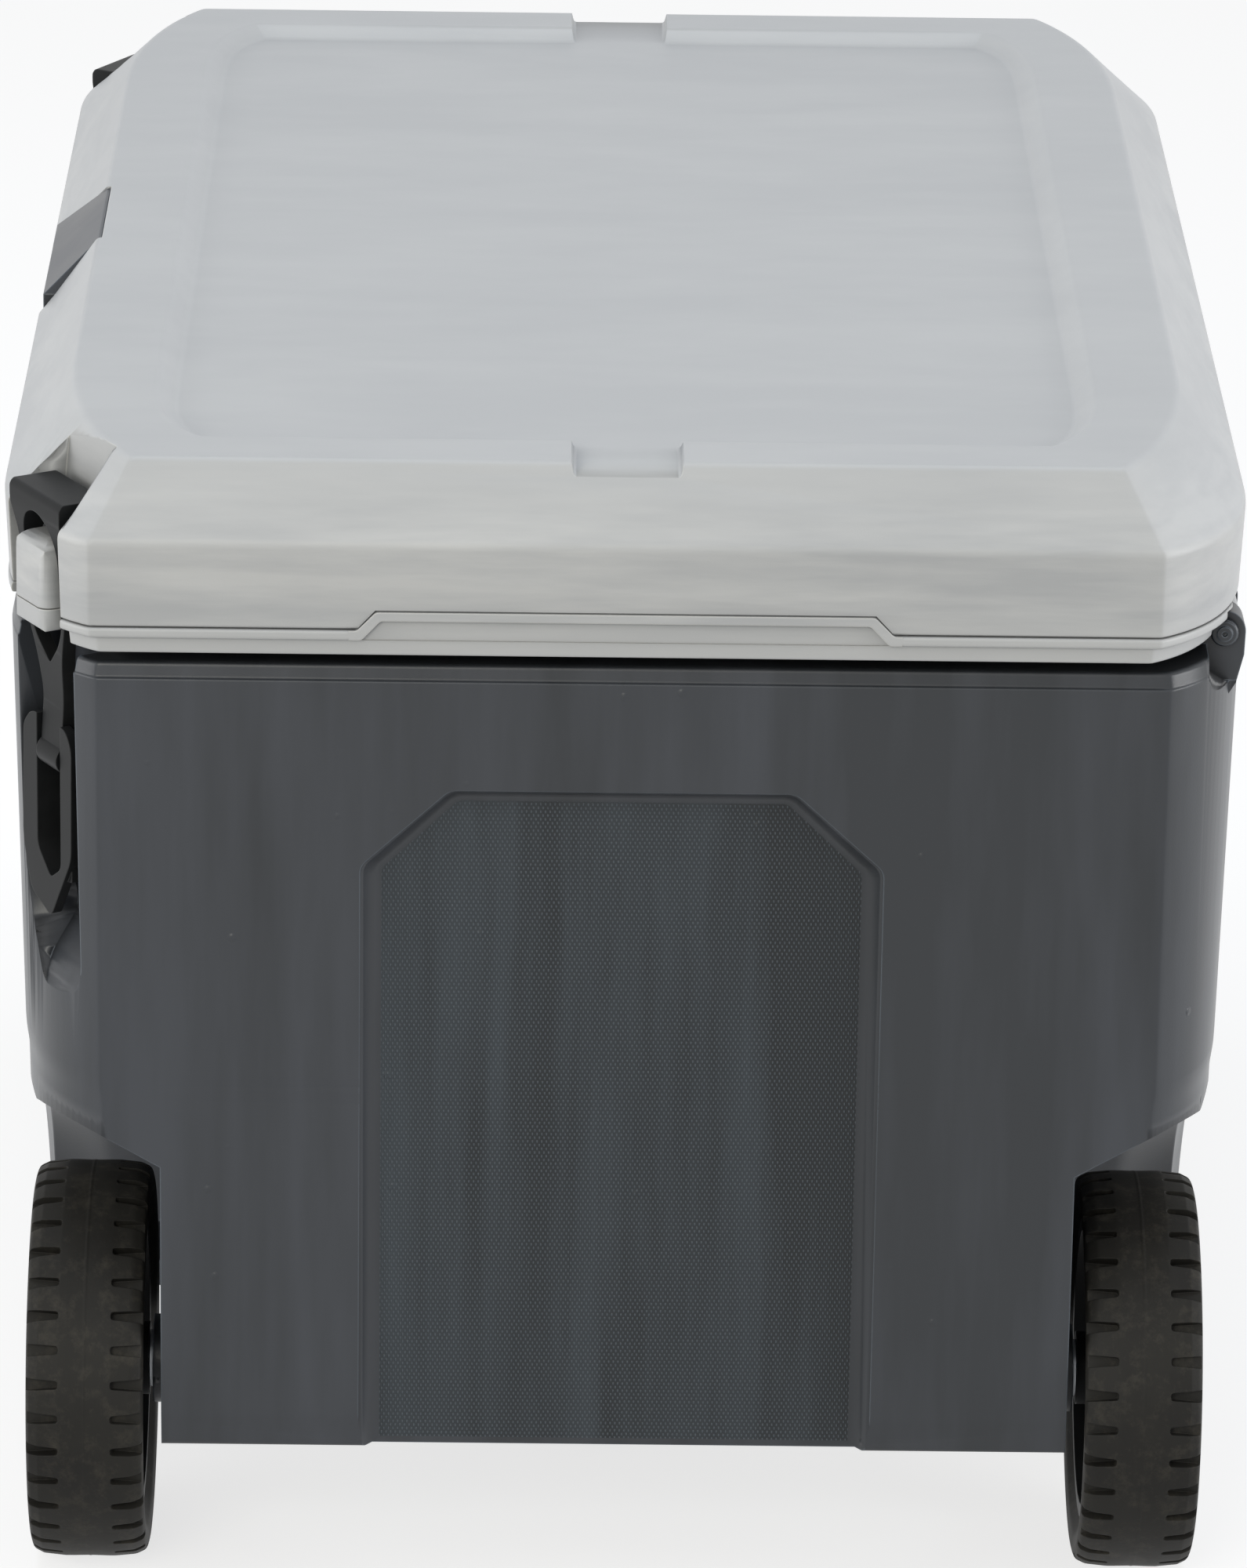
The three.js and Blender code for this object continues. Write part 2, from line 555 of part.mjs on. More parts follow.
// ---------------------------------------------------------------- tub
function hingeEars(sign) {
  const ear = (from) => {
    const to = from + EAR_THICKNESS;
    const round = bar("x", EAR_RADIUS, from, to, [HINGE_Y, HINGE_Z]);
    const low = HINGE_Z - EAR_RADIUS - 18;
    const reach = 0.75 * EAR_RADIUS; // the root stays clear of the lid's edge when the lid is open
    const root = [
      [HINGE_Y - EAR_RADIUS, low], [HINGE_Y + HINGE_INSET - 2, low], [HINGE_Y + reach, HINGE_Z - reach],
      [HINGE_Y, HINGE_Z], [HINGE_Y - EAR_RADIUS, HINGE_Z],
    ];
    return join(solid(moved(round, mirrorX(sign))), solid(moved(prism("x", root, from, to), mirrorX(sign))));
  };
  return [ear(EAR_INNER_X), ear(EAR_OUTER_X - EAR_THICKNESS)];
}

const hingeBore = (sign, radius) =>
  solid(
    moved(bar("x", radius, EAR_INNER_X - 40, EAR_OUTER_X + 1, [HINGE_Y, HINGE_Z], 16), mirrorX(sign)),
  );

function foot(sign) {
  const y = sign * FOOT_Y;
  const section = (z, spread) => ({
    z,
    points: roundedRectangle(FOOT_HALF_LENGTH + spread, FOOT_HALF_WIDTH + spread, 6, 2).map(([u, v]) => [
      FOOT_X + u, y + v,
    ]),
  });
  return solid(loft([section(PAD_HEIGHT + GAP, 0), section(BODY_BOTTOM + 2, 6)]));
}

function foamSpace(gap) {
  const wall = SHELL_WALL + gap;
  return cut(solid(bodyBlock(wall, BODY_BOTTOM + wall, BODY_TOP - wall)), ...bodyHollows(wall));
}

function mouthOpening(inset, from, to) {
  const corner = RIM_CORNER_RADIUS - inset;
  return solid(
    prism("z", roundedRectangle(RIM_HALF_LENGTH - inset, RIM_HALF_WIDTH - inset, corner), from, to),
  );
}

function bodyShell() {
  const ears = ENDS.flatMap(({ sign }) => hingeEars(sign));
  const outer = join(solid(bodyBlock(0, BODY_BOTTOM, BODY_TOP)), ...ears);
  const carved = cut(outer, ...bodyHollows());
  const hollowed = cut(carved, foamSpace(0), mouthOpening(0, BODY_TOP - SHELL_WALL - 1, BODY_TOP + 1));
  const feet = SIDES.map(({ sign }) => foot(sign));
  const bores = ENDS.map(({ sign }) => hingeBore(sign, HINGE_PIN_RADIUS + GAP));
  return cut(join(hollowed, ...feet), ...bores, drainBore(DRAIN_RADIUS + GAP));
}

// The inside of the tub, with the shelf over the wheels at one end.
function cavity(grow, top) {
  const full = (z0, z1) =>
    prism("z", roundedRectangle(CAVITY_HALF_LENGTH + grow, CAVITY_HALF_WIDTH + grow, CAVITY_CORNER), z0, z1);
  const low = solid(full(CAVITY_FLOOR - grow, top));
  const shelf = ({ sign }) => {
    const x = CAVITY_HALF_LENGTH - STEP_LENGTH + grow;
    const near = STEP_HALF_WIDTH + grow;
    const block = box([x, near, 0], [CAVITY_HALF_LENGTH + 40, CAVITY_HALF_WIDTH + 40, STEP_TOP - grow]);
    return solid(moved(block, mirrorY(sign)));
  };
  return cut(low, ...SIDES.map(shelf));
}

function innerLiner() {
  const rim = mouthOpening(GAP, BODY_TOP - LINER_WALL, BODY_TOP);
  const tub = join(cavity(LINER_WALL, BODY_TOP - 1), rim);
  return cut(tub, cavity(0, BODY_TOP + 1), drainBore(DRAIN_RADIUS + GAP));
}

function bodyFoam() {
  const space = foamSpace(GAP);
  return cut(space, cavity(LINER_WALL + GAP, BODY_TOP + 5), drainBore(DRAIN_RADIUS + GAP));
}

add("body_shell", bodyShell(), bodySlate);
add("body_foam", bodyFoam(), foamCream);
add("inner_liner", innerLiner(), linerWhite);

// ---------------------------------------------------------------- lid
const earClearance = (sign) => {
  return [EAR_INNER_X, EAR_OUTER_X - EAR_THICKNESS].map((from) => {
    const inside = from === EAR_INNER_X;
    const start = from - (inside ? 1 : GAP);
    const end = from + EAR_THICKNESS + (inside ? GAP : 1);
    return solid(moved(bar("x", EAR_RADIUS + 1.4, start, end, [HINGE_Y, HINGE_Z]), mirrorX(sign)));
  });
};
const pinHeadClearance = (sign) =>
  solid(moved(bar("x", PIN_HEAD_RADIUS + 3, EAR_OUTER_X, EAR_OUTER_X + 6, [HINGE_Y, HINGE_Z]), mirrorX(sign)));

function lidBlock(inset, bottom, top) {
  const spread = Math.min(1, (top - LID_SHOULDER) / LID_BEVEL_HEIGHT);
  const between = (low, high) => low + (high - low) * spread - inset;
  const mix = {};
  for (const key of Object.keys(BODY_CORNER))
    mix[key] = BODY_CORNER[key] + (RIM_CORNER[key] - BODY_CORNER[key]) * spread;
  const wall = (z, lean) => ({
    z,
    points: outline(
      LID_HALF_LENGTH - lean - inset, LID_HALF_WIDTH - lean - inset, LID_CORNER_Y - inset / 2, BODY_CORNER,
    ),
  });
  const rim = outline(
    between(LID_HALF_LENGTH, LID_RIM_HALF_LENGTH),
    between(LID_HALF_WIDTH, LID_RIM_HALF_WIDTH),
    LID_CORNER_Y + (LID_RIM_CORNER_Y - LID_CORNER_Y) * spread - inset / 2,
    mix,
  );
  return loft([wall(bottom, 1.5), wall(LID_SHOULDER, 0), { z: top, points: rim }]);
}

function lidTray() {
  const foot = [TRAY_HALF_LENGTH, TRAY_HALF_WIDTH, TRAY_CORNER_Y + TRAY_SLOPE / 2];
  const lower = outline(...foot.map((value) => value - TRAY_SLOPE), TRAY_CORNER);
  const upper = outline(TRAY_HALF_LENGTH, TRAY_HALF_WIDTH, TRAY_CORNER_Y, TRAY_CORNER);
  const basin = loft([
    { z: LID_TOP - TRAY_DEPTH, points: lower },
    { z: LID_TOP, points: upper },
    { z: LID_TOP + 1, points: upper },
  ]);
  const half = NOTCH_HALF_WIDTH;
  const floor = LID_TOP - TRAY_DEPTH;
  const notch = box([-LID_HALF_LENGTH, -half, floor], [LID_HALF_LENGTH, half, LID_TOP + 1]);
  return join(solid(basin), solid(notch));
}

// The step that the seam makes at the middle of both short ends.
function seamStep(gap) {
  const half = SEAM_STEP_HALF_WIDTH + gap;
  const low = LID_SEAM - 1;
  const high = LID_SEAM + SEAM_STEP + gap;
  const face = [[-half - SEAM_STEP - 1, low], [half + SEAM_STEP + 1, low], [half, high], [-half, high]];
  return ENDS.map(({ sign }) => {
    const inner = LID_HALF_LENGTH - SHELL_WALL - 3;
    return solid(moved(prism("x", face, inner - gap, LID_HALF_LENGTH + 5), mirrorX(sign)));
  });
}

// The slot for the plate at the middle of the lid's front edge, and the plate that fills it.
function plateBody(gap) {
  const half = PLATE_HALF_WIDTH + gap;
  const face = -LID_HALF_WIDTH + 2;
  const bevelTop = -LID_RIM_HALF_WIDTH;
  const back = PLATE_THICKNESS + gap;
  const profile = [
    [face - (gap ? 20 : 0), PLATE_BOTTOM - gap],
    [face + back, PLATE_BOTTOM - gap],
    [face + back, LID_SHOULDER + 6],
    [bevelTop + 1.2 + gap, LID_TOP - 1 - back],
    [bevelTop + 1.2 + gap, LID_TOP - 1 + (gap ? 2 : 0)],
    [bevelTop + (gap ? -30 : 0), LID_TOP - 1 + (gap ? 2 : 0)],
    [face - (gap ? 20 : 0), LID_SHOULDER + 8],
  ];
  return solid(prism("x", profile, -half, half)).intersect(plateFace(gap));
}

// The plate seen from the front: upright sides that lean together up the bevel.
function plateFace(grow) {
  const half = PLATE_HALF_WIDTH + grow;
  const top = PLATE_TOP_HALF_WIDTH + grow;
  const low = PLATE_BOTTOM - grow;
  const bend = LID_TOP - PLATE_SPREAD_HEIGHT;
  const face = [[-half, low], [half, low], [half, bend], [top, LID_TOP + 1], [-top, LID_TOP + 1], [-half, bend]];
  return solid(prism("y", face, -LID_HALF_WIDTH - 30, 30 - LID_RIM_HALF_WIDTH));
}

// The thick plastic behind the plate, kept free of foam.
function plateBacking(wall) {
  const half = PLATE_HALF_WIDTH + wall;
  const back = PLATE_THICKNESS + 2 + wall;
  const profile = [
    [-LID_HALF_WIDTH - 10, PLATE_BOTTOM - wall],
    [-LID_HALF_WIDTH + back, PLATE_BOTTOM - wall],
    [-LID_HALF_WIDTH + back, LID_SHOULDER + 6],
    [-LID_RIM_HALF_WIDTH + 6 + wall, LID_TOP],
    [-LID_HALF_WIDTH - 10, LID_TOP],
  ];
  return solid(prism("x", profile, -half, half));
}

function lidShell() {
  const block = solid(lidBlock(0, LID_SEAM, LID_TOP));
  const inside = solid(lidBlock(SHELL_WALL, LID_SEAM - 1, LID_TOP - TRAY_DEPTH - SHELL_WALL));
  const scoops = ENDS.map(({ sign }) => latchScoop(sign));
  const walls = ENDS.map(({ sign }) => latchScoop(sign, SHELL_WALL));
  const nubs = ENDS.map(({ sign }) => cornerNub(sign, LID_SEAM, NUB_TOP));
  const hollow = cut(inside, ...walls, plateBacking(SHELL_WALL));
  const carved = cut(block, ...scoops, lidTray(), hollow, plateBody(GAP), ...seamStep(GAP));
  const reliefs = ENDS.flatMap(({ sign }) => [...earClearance(sign), pinHeadClearance(sign)]);
  return cut(join(carved, ...nubs), ...reliefs);
}

function plugBlock(inset, from, to) {
  const plan = roundedRectangle(PLUG_HALF_LENGTH - inset, PLUG_HALF_WIDTH - inset, CAVITY_CORNER - 4 - inset);
  return solid(prism("z", plan, from, to));
}

function lidBase() {
  const low = LID_BASE_INSET;
  const upper = LID_SEAM - GAP;
  const section = (z, inset) => ({
    z,
    points: outline(LID_HALF_LENGTH - inset / 2, LID_HALF_WIDTH - inset, LID_CORNER_Y - inset / 2, BODY_CORNER),
  });
  const tray = loft([
    section(LID_BOTTOM, low + 2),
    section(upper - BEAD_HEIGHT - 0.7, low),
    section(upper - BEAD_HEIGHT, 1),
    section(upper, 1),
  ]);
  const rearEdge = box([-EAR_OUTER_X - 3, HINGE_Y + REAR_EDGE_REACH, 0], [EAR_OUTER_X + 3, HINGE_Y + 40, upper + 1]);
  const scoops = ENDS.map(({ sign }) => latchScoop(sign));
  const skirt = cut(solid(tray), solid(rearEdge), ...scoops);
  const steps = seamStep(0).map((step) => step.intersect(solid(lidBlock(0, LID_SEAM - 4, LID_TOP))));
  const plug = plugBlock(0, PLUG_BOTTOM, LID_BOTTOM + 2);
  const plugHollow = plugBlock(SHELL_WALL, PLUG_BOTTOM + SHELL_WALL, upper + 1);
  const inside = solid(lidBlock(SHELL_WALL + 6, LID_BOTTOM + SHELL_WALL, LID_TOP));
  const walls = ENDS.map(({ sign }) => latchScoop(sign, SHELL_WALL));
  const nubs = ENDS.map(({ sign }) => cornerNub(sign, NUB_BOTTOM, upper));
  const lugs = ENDS.map(({ sign }) => {
    const outer = EAR_OUTER_X - EAR_THICKNESS - GAP;
    const turning = bar("x", LUG_RADIUS, outer - LUG_LENGTH, outer, [HINGE_Y, HINGE_Z]);
    const web = box([outer - LUG_LENGTH, HINGE_Y - LUG_RADIUS, HINGE_Z], [outer, HINGE_Y + REAR_EDGE_REACH, upper]);
    return join(solid(moved(turning, mirrorX(sign))), solid(moved(web, mirrorX(sign))));
  });
  const hollow = cut(inside, ...walls, ...ENDS.flatMap(({ sign }) => hingeRoom(sign)));
  const made = cut(join(skirt, plug, ...steps), plugHollow, hollow);
  const reliefs = ENDS.flatMap(({ sign }) => [
    ...earClearance(sign), pinHeadClearance(sign), hingeBore(sign, HINGE_PIN_RADIUS + GAP),
  ]);
  return cut(join(made, ...nubs, ...lugs), ...reliefs);
}

// Solid plastic round the hinge, kept free of foam.
function hingeRoom(sign) {
  const low = [EAR_INNER_X - 8, HINGE_Y - EAR_RADIUS - 5, HINGE_Z - 7];
  const high = [EAR_OUTER_X + 9, HINGE_Y + 20, HINGE_Z + EAR_RADIUS + 5];
  return [solid(moved(box(low, high), mirrorX(sign)))];
}

function lidFoam() {
  const wall = SHELL_WALL + GAP;
  const upper = lidBlock(wall + 6, LID_BOTTOM + wall, LID_TOP - TRAY_DEPTH - wall);
  const lower = plugBlock(wall, PLUG_BOTTOM + wall, LID_BOTTOM + 10);
  const corners = ENDS.flatMap(({ sign }) => [latchScoop(sign, wall + 1), ...hingeRoom(sign)]);
  const edge = [LID_HALF_LENGTH, SEAM_STEP_HALF_WIDTH + 29, LID_SEAM + SEAM_STEP + 4];
  const edges = ENDS.map(({ sign }) => solid(moved(box([edge[0] - 11, -edge[1], 0], edge), mirrorX(sign))));
  return cut(join(solid(upper), lower), ...corners, plateBacking(wall), ...edges);
}

function lidGasket() {
  const outer = mouthOpening(3, BODY_TOP + GAP, LID_BOTTOM - GAP);
  return cut(outer, mouthOpening(10, BODY_TOP, LID_BOTTOM));
}

add("lid_shell", lidShell(), lidGrey);
add("lid_base", lidBase(), lidGrey);
add("lid_foam", lidFoam(), foamCream);
add("lid_gasket", lidGasket(), rubberBlack);
add("front_plate", plateBody(0), bodySlate);

// ---------------------------------------------------------------- hinge pins
function hingePin(sign) {
  const head = EAR_OUTER_X + GAP;
  const rim = PIN_HEAD_RADIUS;
  const profile = [
    [0, EAR_INNER_X], [HINGE_PIN_RADIUS, EAR_INNER_X], [HINGE_PIN_RADIUS, head], [rim, head],
    [rim, head + 1.9], [rim - 0.7, head + 2.7], [rim - 2.2, head + 2.7], [rim - 2.4, head + 3.5],
    [1, head + 3.5], [0.9, head + 2.1], [0, head + 2.1],
  ];
  const pin = new THREE.LatheGeometry(profile.map(([r, x]) => new THREE.Vector2(r, x)), 20);
  pin.rotateZ(-Math.PI / 2).translate(0, HINGE_Y, HINGE_Z);
  return moved(pin, mirrorX(sign));
}
for (const { name, sign } of ENDS) add("hinge_pin_" + name, hingePin(sign), bodySlate);

// ---------------------------------------------------------------- latches
// An outline from its right half, written from the bottom up.
const bothSides = (right) => [...right, ...right.filter(([x]) => x > 0).reverse().map(([x, z]) => [-x, z])];

function latchStrap(sign) {
  const bend = BODY_TOP + 3;
  const neck = PIVOT_Z + 23;
  const back = STRAP_THICKNESS;
  const side = [
    [0, STRAP_TOP - 2], [1.5, STRAP_TOP], [STRAP_DEPTH, STRAP_TOP], [STRAP_DEPTH, STRAP_TOP - 7],
    [back + 5, STRAP_TOP - 15], [back + 2.5, STRAP_TOP - 25], [back + 4.5, bend],
    [back + 7.5, neck], [PIVOT_Y + 4, PIVOT_Z], [PIVOT_Y - 4, PIVOT_Z],
    [7.5, neck], [4.5, bend], [2.5, STRAP_TOP - 21], [0, STRAP_TOP - 8],
  ];
  const half = STRAP_WIDTH / 2;
  const slim = half - STRAP_NARROWING;
  const waist = STRAP_WAIST_HALF_WIDTH;
  const root = KNUCKLE_HALF_WIDTH;
  const right = [
    [root, PIVOT_Z - 10], [root, neck], [waist, WINDOW_BOTTOM + 2], [slim - 1, WINDOW_BOTTOM + 20],
    [slim, STRAP_TOP - 21], [half, STRAP_TOP - 8], [half, STRAP_TOP + 2],
  ];
  const opening = WINDOW_HALF_WIDTH;
  const window = [
    [0, WINDOW_BOTTOM], [opening - 4.4, WINDOW_BOTTOM + 9], [opening, WINDOW_BOTTOM + 17],
    [opening, WINDOW_TOP - 12], [opening - 4, WINDOW_TOP - 4], [opening - 10, WINDOW_TOP],
  ];
  const profile = onCorner(prism("x", side, -half, half), sign);
  const plate = profile.intersect(onCorner(prism("y", bothSides(right), -10, 40), sign));
  const knuckle = onCorner(bar("x", KNUCKLE_RADIUS, -root, root, [PIVOT_Y, PIVOT_Z], 20), sign);
  const bore = onCorner(bar("x", LATCH_PIN_RADIUS + GAP, -half, half, [PIVOT_Y, PIVOT_Z], 16), sign);
  return cut(join(plate, knuckle), onCorner(prism("y", bothSides(window), -10, 40), sign), bore);
}

function latchBezel(sign) {
  const half = BEZEL_HALF_WIDTH;
  const tipShoulder = BEZEL_TIP + 13;
  const face = [
    [-half + 4, BEZEL_TOP], [-half, BEZEL_TOP - 4], [-half, tipShoulder], [0, BEZEL_TIP], [half, tipShoulder],
    [half, BEZEL_TOP - 4], [half - 4, BEZEL_TOP],
  ];
  const opening = BEZEL_WINDOW_HALF_WIDTH;
  const window = [
    [-opening, BEZEL_TIP + 30], [0, BEZEL_TIP + 20], [opening, BEZEL_TIP + 30], [opening, BEZEL_TOP + 1],
    [-opening, BEZEL_TOP + 1],
  ];
  const cheek = opening + 4;
  const plate = onCorner(prism("y", face, BEZEL_FACE, BEZEL_FACE + 4), sign);
  const low = [-cheek, BEZEL_FACE + 2, BEZEL_TIP + 16];
  const body = onCorner(box(low, [cheek, POCKET_DEPTH - GAP, BEZEL_TOP - 2]), sign);
  const bore = onCorner(bar("x", LATCH_PIN_RADIUS + GAP, -half, half, [PIVOT_Y, PIVOT_Z], 16), sign);
  return cut(join(plate, body), onCorner(prism("y", window, 0, POCKET_DEPTH - 3), sign), bore);
}

function latchPin(sign) {
  const half = BEZEL_WINDOW_HALF_WIDTH + 3.8;
  return onCorner(bar("x", LATCH_PIN_RADIUS, -half, half, [PIVOT_Y, PIVOT_Z], 16), sign);
}

for (const { name, sign } of ENDS) {
  add("latch_strap_" + name, latchStrap(sign), blackNylon);
  add("latch_bezel_" + name, latchBezel(sign), blackNylon);
  add("latch_pin_" + name, latchPin(sign), steel);
}

// ---------------------------------------------------------------- wheels and axle
function lathe(profile, segments) {
  const points = profile.map(([r, y]) => new THREE.Vector2(r, y));
  return new THREE.LatheGeometry(points, segments).translate(AXLE_X, 0, AXLE_Z);
}

function tyre(sign) {
  const inner = TYRE_INNER_Y;
  const outer = TYRE_OUTER_Y;
  const bead = RIM_RADIUS + GAP;
  const ring = lathe(
    [
      [bead, inner + 3], [bead + 6, inner], [WHEEL_RADIUS - 4.5, inner], [WHEEL_RADIUS, inner + 6],
      [WHEEL_RADIUS, outer - 6], [WHEEL_RADIUS - 4.5, outer], [bead + 6, outer], [bead, outer - 3],
      [bead, inner + 3],
    ],
    TREAD_SLOTS,
  );
  const slots = [];
  for (let i = 0; i < TREAD_SLOTS; i++)
    for (const [edge, inward] of [[inner, 1], [outer, -1]]) {
      const wide = SLOT_WIDTH / 2;
      const tip = edge + inward * SLOT_LENGTH;
      const mouth = edge - inward;
      const plan = [[-wide, mouth], [wide, mouth], [wide * 0.7, tip], [-wide * 0.7, tip]];
      const wedge = prism("z", inward > 0 ? plan : plan.reverse(), WHEEL_RADIUS - SLOT_DEPTH, WHEEL_RADIUS + 2);
      wedge.rotateY(((i + 0.5) * 2 * Math.PI) / TREAD_SLOTS).translate(AXLE_X, 0, AXLE_Z);
      slots.push(solid(moved(wedge, mirrorY(sign))));
    }
  return cut(solid(moved(ring, mirrorY(sign))), join(...slots));
}

function wheelHub(sign) {
  const inner = TYRE_INNER_Y;
  const outer = TYRE_OUTER_Y;
  const bore = AXLE_RADIUS + GAP;
  const disc = lathe(
    [
      [bore, inner + 0.5], [14, inner + 0.5], [14, inner + 15], [52, inner + 17], [53, inner + 3],
      [RIM_RADIUS, inner + 3], [RIM_RADIUS, outer - 3], [53, outer - 3], [51, outer - 16], [16, outer - 18],
      [15, outer - 4], [bore, outer - 4], [bore, inner + 0.5],
    ],
    30,
  );
  const windows = [];
  for (let i = 0; i < 6; i++) {
    const window = prism("z", [[-9, 24], [9, 24], [14, 45], [-14, 45]], 0, 100);
    window.rotateX(Math.PI / 2).rotateY((i * Math.PI) / 3).translate(AXLE_X, outer + 10, AXLE_Z);
    windows.push(solid(moved(window, mirrorY(sign))));
  }
  return cut(solid(moved(disc, mirrorY(sign))), ...windows);
}

function hubCap(sign) {
  const outer = TYRE_OUTER_Y;
  const cap = lathe(
    [
      [0, outer - 1], [0, outer + 2.5], [8, outer + 2], [12, outer - 0.5], [12, outer - 3.7],
      [AXLE_RADIUS + GAP, outer - 3.7], [AXLE_RADIUS + GAP, outer - 1], [0, outer - 1],
    ].reverse(),
    24,
  );
  return moved(cap, mirrorY(sign));
}

function axleBlock(sign) {
  const half = CHANNEL_HALF_WIDTH - GAP;
  const centre = [AXLE_X, AXLE_Z];
  const inner = WELL_WALL_Y - 23;
  const block = box([AXLE_X - half, inner, BODY_BOTTOM], [AXLE_X + half, WELL_WALL_Y + GAP, AXLE_Z + half]);
  const boss = bar("y", 17, WELL_WALL_Y + GAP, TYRE_INNER_Y - 1.1, centre);
  const bore = bar("y", AXLE_RADIUS + GAP, inner - 5, TYRE_INNER_Y, centre);
  const [block3, boss3, bore3] = [block, boss, bore].map((piece) => solid(moved(piece, mirrorY(sign))));
  return cut(join(block3, boss3), bore3);
}

function washer(sign) {
  const bore = AXLE_RADIUS + GAP;
  const inner = TYRE_INNER_Y - 0.8;
  const outer = inner + 1;
  const ring = lathe([[bore, inner], [11, inner], [11, outer], [bore, outer], [bore, inner]], 24);
  return moved(ring, mirrorY(sign));
}

const rodEnd = TYRE_OUTER_Y - 1 - GAP;
add("axle_rod", bar("y", AXLE_RADIUS, -rodEnd, rodEnd, [AXLE_X, AXLE_Z]), steel);
for (const { name, sign } of SIDES) {
  add("tyre_" + name, tyre(sign), rubberBlack);
  add("wheel_hub_" + name, wheelHub(sign), blackNylon);
  add("hub_cap_" + name, hubCap(sign), blackNylon);
  add("axle_block_" + name, axleBlock(sign), bodySlate);
  add("axle_washer_" + name, washer(sign), steel);
}

// ---------------------------------------------------------------- feet
for (const { name, sign } of SIDES) {
  const outlinePoints = roundedRectangle(FOOT_HALF_LENGTH, FOOT_HALF_WIDTH, 6, 2);
  const pad = prism("z", outlinePoints, 0, PAD_HEIGHT).translate(FOOT_X, sign * FOOT_Y, 0);
  add("foot_pad_" + name, pad, rubberBlack);
}

// ---------------------------------------------------------------- drain
// How far out the handle end's face stands at a height.
const endFace = (z) => (BODY_TOP - z) * BODY_DRAFT - BODY_HALF_LENGTH;
const drainFace = endFace(DRAIN_Z + DRAIN_RADIUS + 5) + PANEL_DEPTH;
function drainFitting() {
  const inner = -CAVITY_HALF_LENGTH + 2;
  const flange = bar("x", DRAIN_RADIUS + 5, drainFace - 3.5, drainFace - GAP, [0, DRAIN_Z]);
  const pipe = bar("x", DRAIN_RADIUS, drainFace - 3.5, inner, [0, DRAIN_Z]);
  const bore = bar("x", DRAIN_RADIUS - 3, drainFace - 10, inner + 5, [0, DRAIN_Z]);
  return cut(join(solid(flange), solid(pipe)), solid(bore));
}
function drainCap() {
  const back = drainFace - 5.4;
  const knob = bar("x", DRAIN_RADIUS + 4, back - 6, back, [0, DRAIN_Z], 16);
  const wing = box([back - 12, -DRAIN_RADIUS, DRAIN_Z - 3], [back - 5, DRAIN_RADIUS, DRAIN_Z + 3]);
  const stem = bar("x", DRAIN_RADIUS - 3.4, back - 1, back + 20, [0, DRAIN_Z]);
  return join(solid(knob), solid(wing), solid(stem));
}
function drainWasher() {
  const back = drainFace - 3.5 - GAP;
  const ring = bar("x", DRAIN_RADIUS + 3, back - 1.3, back, [0, DRAIN_Z]);
  return cut(solid(ring), solid(bar("x", DRAIN_RADIUS - 2.9, back - 3, back + 1, [0, DRAIN_Z])));
}
add("drain_fitting", drainFitting(), blackNylon);
add("drain_washer", drainWasher(), rubberBlack);
add("drain_cap", drainCap(), blackNylon);

// ---------------------------------------------------------------- tow handle
function tube(radius, from, to, y) {
  const outer = solid(bar("z", radius, from, to, [HANDLE_X, y], 20));
  return cut(outer, solid(bar("z", radius - TUBE_WALL, from - 1, to + 1, [HANDLE_X, y], 20)));
}

// A bracket across the end face, with a ring round each outer tube.
function handleBracket(z) {
  const top = z + BRACKET_HEIGHT;
  const face = endFace(top) - GAP;
  const half = TUBE_Y + 18;
  const plate = box([HANDLE_X - 2, -half, z], [face, half, top]);
  const ring = (y) => solid(bar("z", OUTER_TUBE_RADIUS + 2.5, z, top, [HANDLE_X, y], 24));
  const middle = box([HANDLE_X - 20, 20 - TUBE_Y, z - 1], [face - 6, TUBE_Y - 20, top + 1]);
  const bore = (y) => solid(bar("z", OUTER_TUBE_RADIUS + GAP, z - 1, top + 1, [HANDLE_X, y], 20));
  const hole = (y) => {
    const centre = [y, z + BRACKET_HEIGHT / 2];
    return solid(bar("x", SCREW_RADIUS + GAP, HANDLE_X - 30, face + 1, centre, 16));
  };
  return cut(
    join(solid(plate), ring(TUBE_Y), ring(-TUBE_Y)),
    solid(middle), bore(TUBE_Y), bore(-TUBE_Y), hole(SCREW_Y), hole(-SCREW_Y),
  );
}

function bracketScrew(z, y) {
  const face = endFace(z + BRACKET_HEIGHT) - GAP;
  const centre = [y, z + BRACKET_HEIGHT / 2];
  const head = face - 6 - GAP;
  return join(
    solid(bar("x", SCREW_RADIUS * 1.9, head - 2.6, head, centre, 16)),
    solid(bar("x", SCREW_RADIUS, head - 1, face, centre, 16)),
  );
}

function grip() {
  const half = TUBE_Y + 14;
  const x0 = HANDLE_X - GRIP_DEPTH / 2;
  const x1 = HANDLE_X + GRIP_DEPTH / 2 - 2;
  const soft = 6;
  const low = GRIP_BOTTOM;
  const high = GRIP_BOTTOM + GRIP_HEIGHT;
  const section = [
    [x0 + soft, low], [x1 - 3, low], [x1, low + 3], [x1, high - soft], [x1 - soft, high], [x0 + soft, high],
    [x0, high - soft], [x0, low + soft],
  ];
  const beam = solid(prism("y", section, -half, half));
  const socket = (y) => solid(bar("z", INNER_TUBE_RADIUS + GAP, low - 1, low + GRIP_SOCKET, [HANDLE_X, y], 20));
  return cut(beam, socket(TUBE_Y), socket(-TUBE_Y));
}

